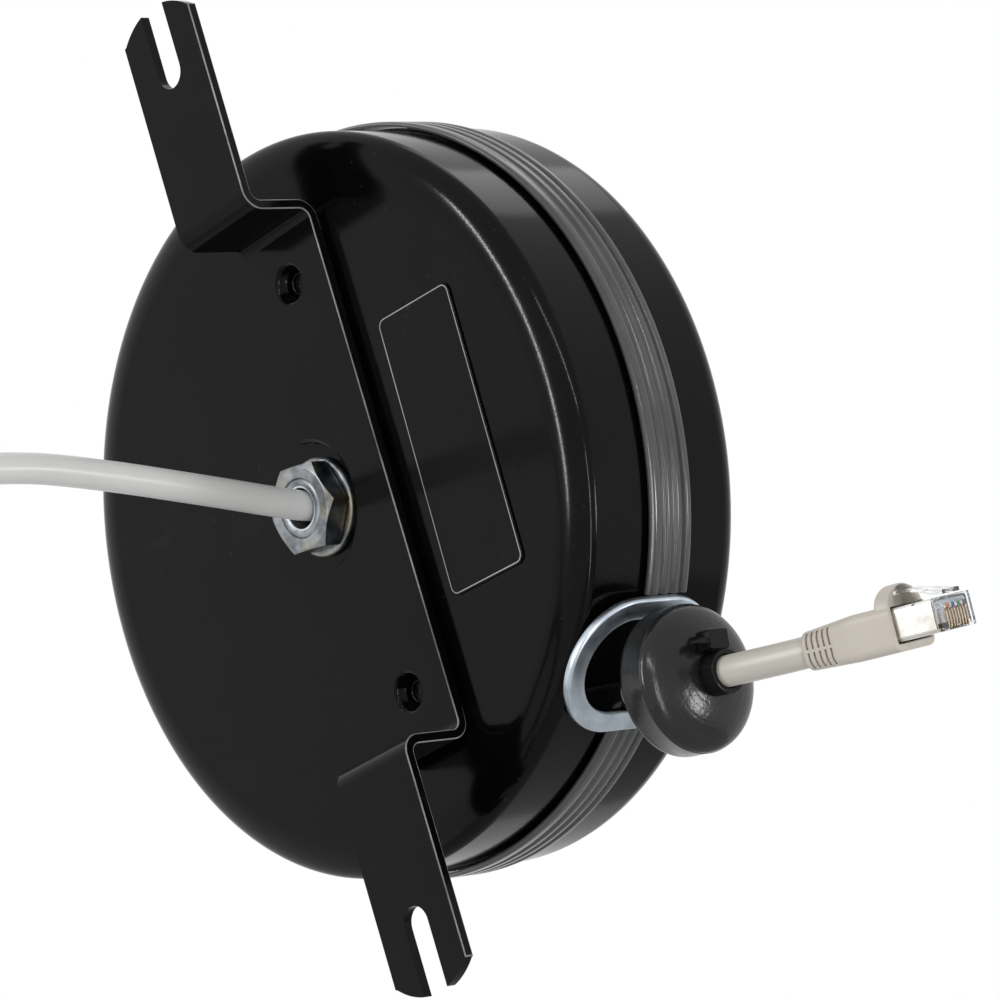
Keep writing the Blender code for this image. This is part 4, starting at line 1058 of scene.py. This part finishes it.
def outlet():
    """The flat ring with rounded front edges, over the opening for the cord."""
    outer = obround(OUTLET_LENGTH, OUTLET_WIDTH, 40)
    inner = obround(OUTLET_LENGTH - 2 * OUTLET_BAND, OUTLET_WIDTH - 2 * OUTLET_BAND, 40)
    top, low = OUTLET_PLANE, OUTLET_PLANE - OUTLET_THICKNESS
    soft = 0.0006
    loops = []
    for (u, v), (p, q) in zip(outer, inner):
        across = Vector((p - u, q - v)).normalized()
        outline = [(u + across.x * 0.0002, v + across.y * 0.0002, low), (u, v, low + 0.0003)]
        turns = [math.radians(angle) for angle in (0, 22, 45, 68, 90)]
        for (x, y), way, angles in (((u, v), 1, turns), ((p, q), -1, turns[::-1])):
            for a in angles:
                inset = way * soft * (1 - math.cos(a))
                outline.append((x + across.x * inset, y + across.y * inset, top - soft + soft * math.sin(a)))
        outline.append((p - across.x * 0.0014, q - across.y * 0.0014, low))
        loops.append([OUTLET_PLACE @ Vector(point) for point in outline])
    fit(skin("outlet_plate", loops, ZINC, ring=True, sharp=50), "housing", "zinc_plate", "outlet_ring")


def label():
    """The dark film and the thin light line round it."""
    turn = Matrix.Rotation(LABEL_TILT, 4, "Y")
    place = Matrix.Translation((LABEL_CENTRE[0], 0, LABEL_CENTRE[1])) @ turn @ ALONG_Y
    outline = rounded_box(*LABEL_SIZE, 0.0020)
    film_y = FACE_Y + 0.00045
    film = extruded("label_film_plate", outline, FACE_Y + 0.00005, film_y, place, LABEL)
    soften(film, 0.00010, 2)
    fit(film, "housing", "label_black", "label_plate")
    outer = rounded_box(LABEL_SIZE[0] - 0.0007, LABEL_SIZE[1] - 0.0007, 0.0017, 8)
    inner = rounded_box(LABEL_SIZE[0] - 0.0011, LABEL_SIZE[1] - 0.0011, 0.00150, 8)
    border = walled("label_border", outer, inner, film_y - 0.00002, film_y + 0.00003, place, LINE)
    fit(border, "housing", "label_black")


def winding():
    """The wound cord on the drum, and its run to the outlet."""
    front_y = CORD_Y + WINDING_WIDTH / 2
    rear_y = CORD_Y - WINDING_WIDTH / 2
    under = WOUND_RADIUS - CORD_DIAMETER * 0.87
    low = HUB_RADIUS + GAP
    turns = 4
    pitch = (WINDING_WIDTH - 0.0008) / turns
    outline = [(low, rear_y + GAP), (low, front_y - GAP)]
    for i in range(turns):
        top = front_y - 0.0004 - pitch * i
        outline += arc((under - 0.0006, top - pitch / 2), pitch / 2 * 0.98, 80, -80, 9)
    core = turned("wound_cord_core", outline, JACKET, sharp=50)
    fit(core, "drum", "cord_jacket", "cord_winding_core")

    step, per_turn = 0.0067, 48
    first_y = front_y - GAP - CORD_DIAMETER / 2 - 0.0002
    count = round((first_y - CORD_Y) / step * per_turn)
    leave = math.atan2(CORD_START.x, CORD_START.z)
    route = []
    for i in range(count + 1):
        angle = leave - 2 * math.pi * (count - i) / per_turn
        y = CORD_Y + step * (count - i) / per_turn
        route.append(Vector((WOUND_RADIUS * math.sin(angle), y, WOUND_RADIUS * math.cos(angle))))
    first = (route[1] - route[0]).normalized() * CORD_DIAMETER
    route = [route[0] - first, *route, route[-1] + CORD_OUT * CORD_DIAMETER]
    fit(tube("wound_cord_layer", route, CORD_DIAMETER, JACKET, 20), "drum", "cord_jacket", "cord_outer_layer")
    run = [CORD_START + CORD_OUT * s for s in (0.0265, 0.0370, 0.0480, CORD_LEAVES - 0.00005)]
    # The cord's run inside the opening is drawn in the black rubber finish, far darker than the same cord's
    # jacket.
    fit(tube("inner_cord_run", run, CORD_DIAMETER, RUBBER), "housing", "black_rubber", "cord_inner_run")


finish_nodes()
housing()
bracket()
axle()
outlet()
label()
winding()


# ---------- floor, lamps and sky


def plain(name, colour, roughness=0.9):
    """One even colour."""
    return new_finish(name, base_color=colour, roughness=roughness)[0]


def stage():
    """A pale floor well below the reel, soft lamps and a white surround."""
    bm = bmesh.new()
    bm.faces.new([bm.verts.new((x, y, FLOOR_Z)) for x, y in arc((0, 0), FLOOR_RADIUS, 0, 352.5, 48)])
    make("studio_floor", bm, plain("floor_paper", (0.80, 0.80, 0.80)))

    def lamp(name, direction, along, size, power):
        """A soft panel: size is its width, and its length in the direction along."""
        data = bpy.data.lights.new(name, "AREA")
        data.shape = "RECTANGLE"
        data.size, data.size_y = size
        data.energy = power
        spot = in_scene(name, data)
        way = Vector(direction).normalized()
        along = (Vector(along) - way * way.dot(Vector(along))).normalized()
        spot.matrix_world = axes_at(Vector(LAMP_AIM) + way * LAMP_DISTANCE, along.cross(way), along, way)

    lamp("key_panel", (0.28, 0.90, 0.34), (0.0, -0.2, 1.0), (0.035, 0.85), 9.5)
    lamp("upper_strip", (-0.70, 0.65, 0.29), (0.39, 0.24, 0.39), (0.022, 1.0), 4.5)
    lamp("lower_strip", (-0.79, 0.47, -0.38), (-0.14, 0.12, 0.46), (0.025, 0.85), 4.5)
    lamp("overhead_panel", (-0.05, -0.42, 0.90), (0, 1, 0), (0.5, 1.1), 2.5)
    lamp("side_panel", (-0.83, -0.42, -0.36), (0, 0.5, 0.86), (0.22, 0.26), 4.5)

    world = bpy.data.worlds.new("studio")
    bpy.context.scene.world = world
    world.use_nodes = True
    tree = world.node_tree
    tree.nodes.clear()
    out = tree.nodes.new("ShaderNodeOutputWorld")
    path = tree.nodes.new("ShaderNodeLightPath")
    place = tree.nodes.new("ShaderNodeTexCoord")

    ways = {0: place.outputs["Generated"], 1: OVERHEAD_WAY}
    toward = add(tree, "ShaderNodeVectorMath", ways, operation="DOT_PRODUCT")
    overhead = ranged(tree, toward.outputs["Value"], 0.62, 0.96, 0.0, OVERHEAD_LEVEL)
    strength = times(tree, path.outputs["Is Diffuse Ray"], plus(tree, overhead, SKY_LEVEL))
    for kind in ("Is Camera Ray", "Is Glossy Ray", "Is Transmission Ray"):
        larger = add(tree, "ShaderNodeMath", {0: path.outputs[kind], 1: strength}, operation="MAXIMUM")
        strength = larger.outputs[0]
    sky = add(tree, "ShaderNodeBackground", {"Color": (1, 1, 1, 1), "Strength": strength})
    tree.links.new(sky.outputs[0], out.inputs[0])


stage()
view = bpy.context.scene.view_settings
view.view_transform = "Standard"
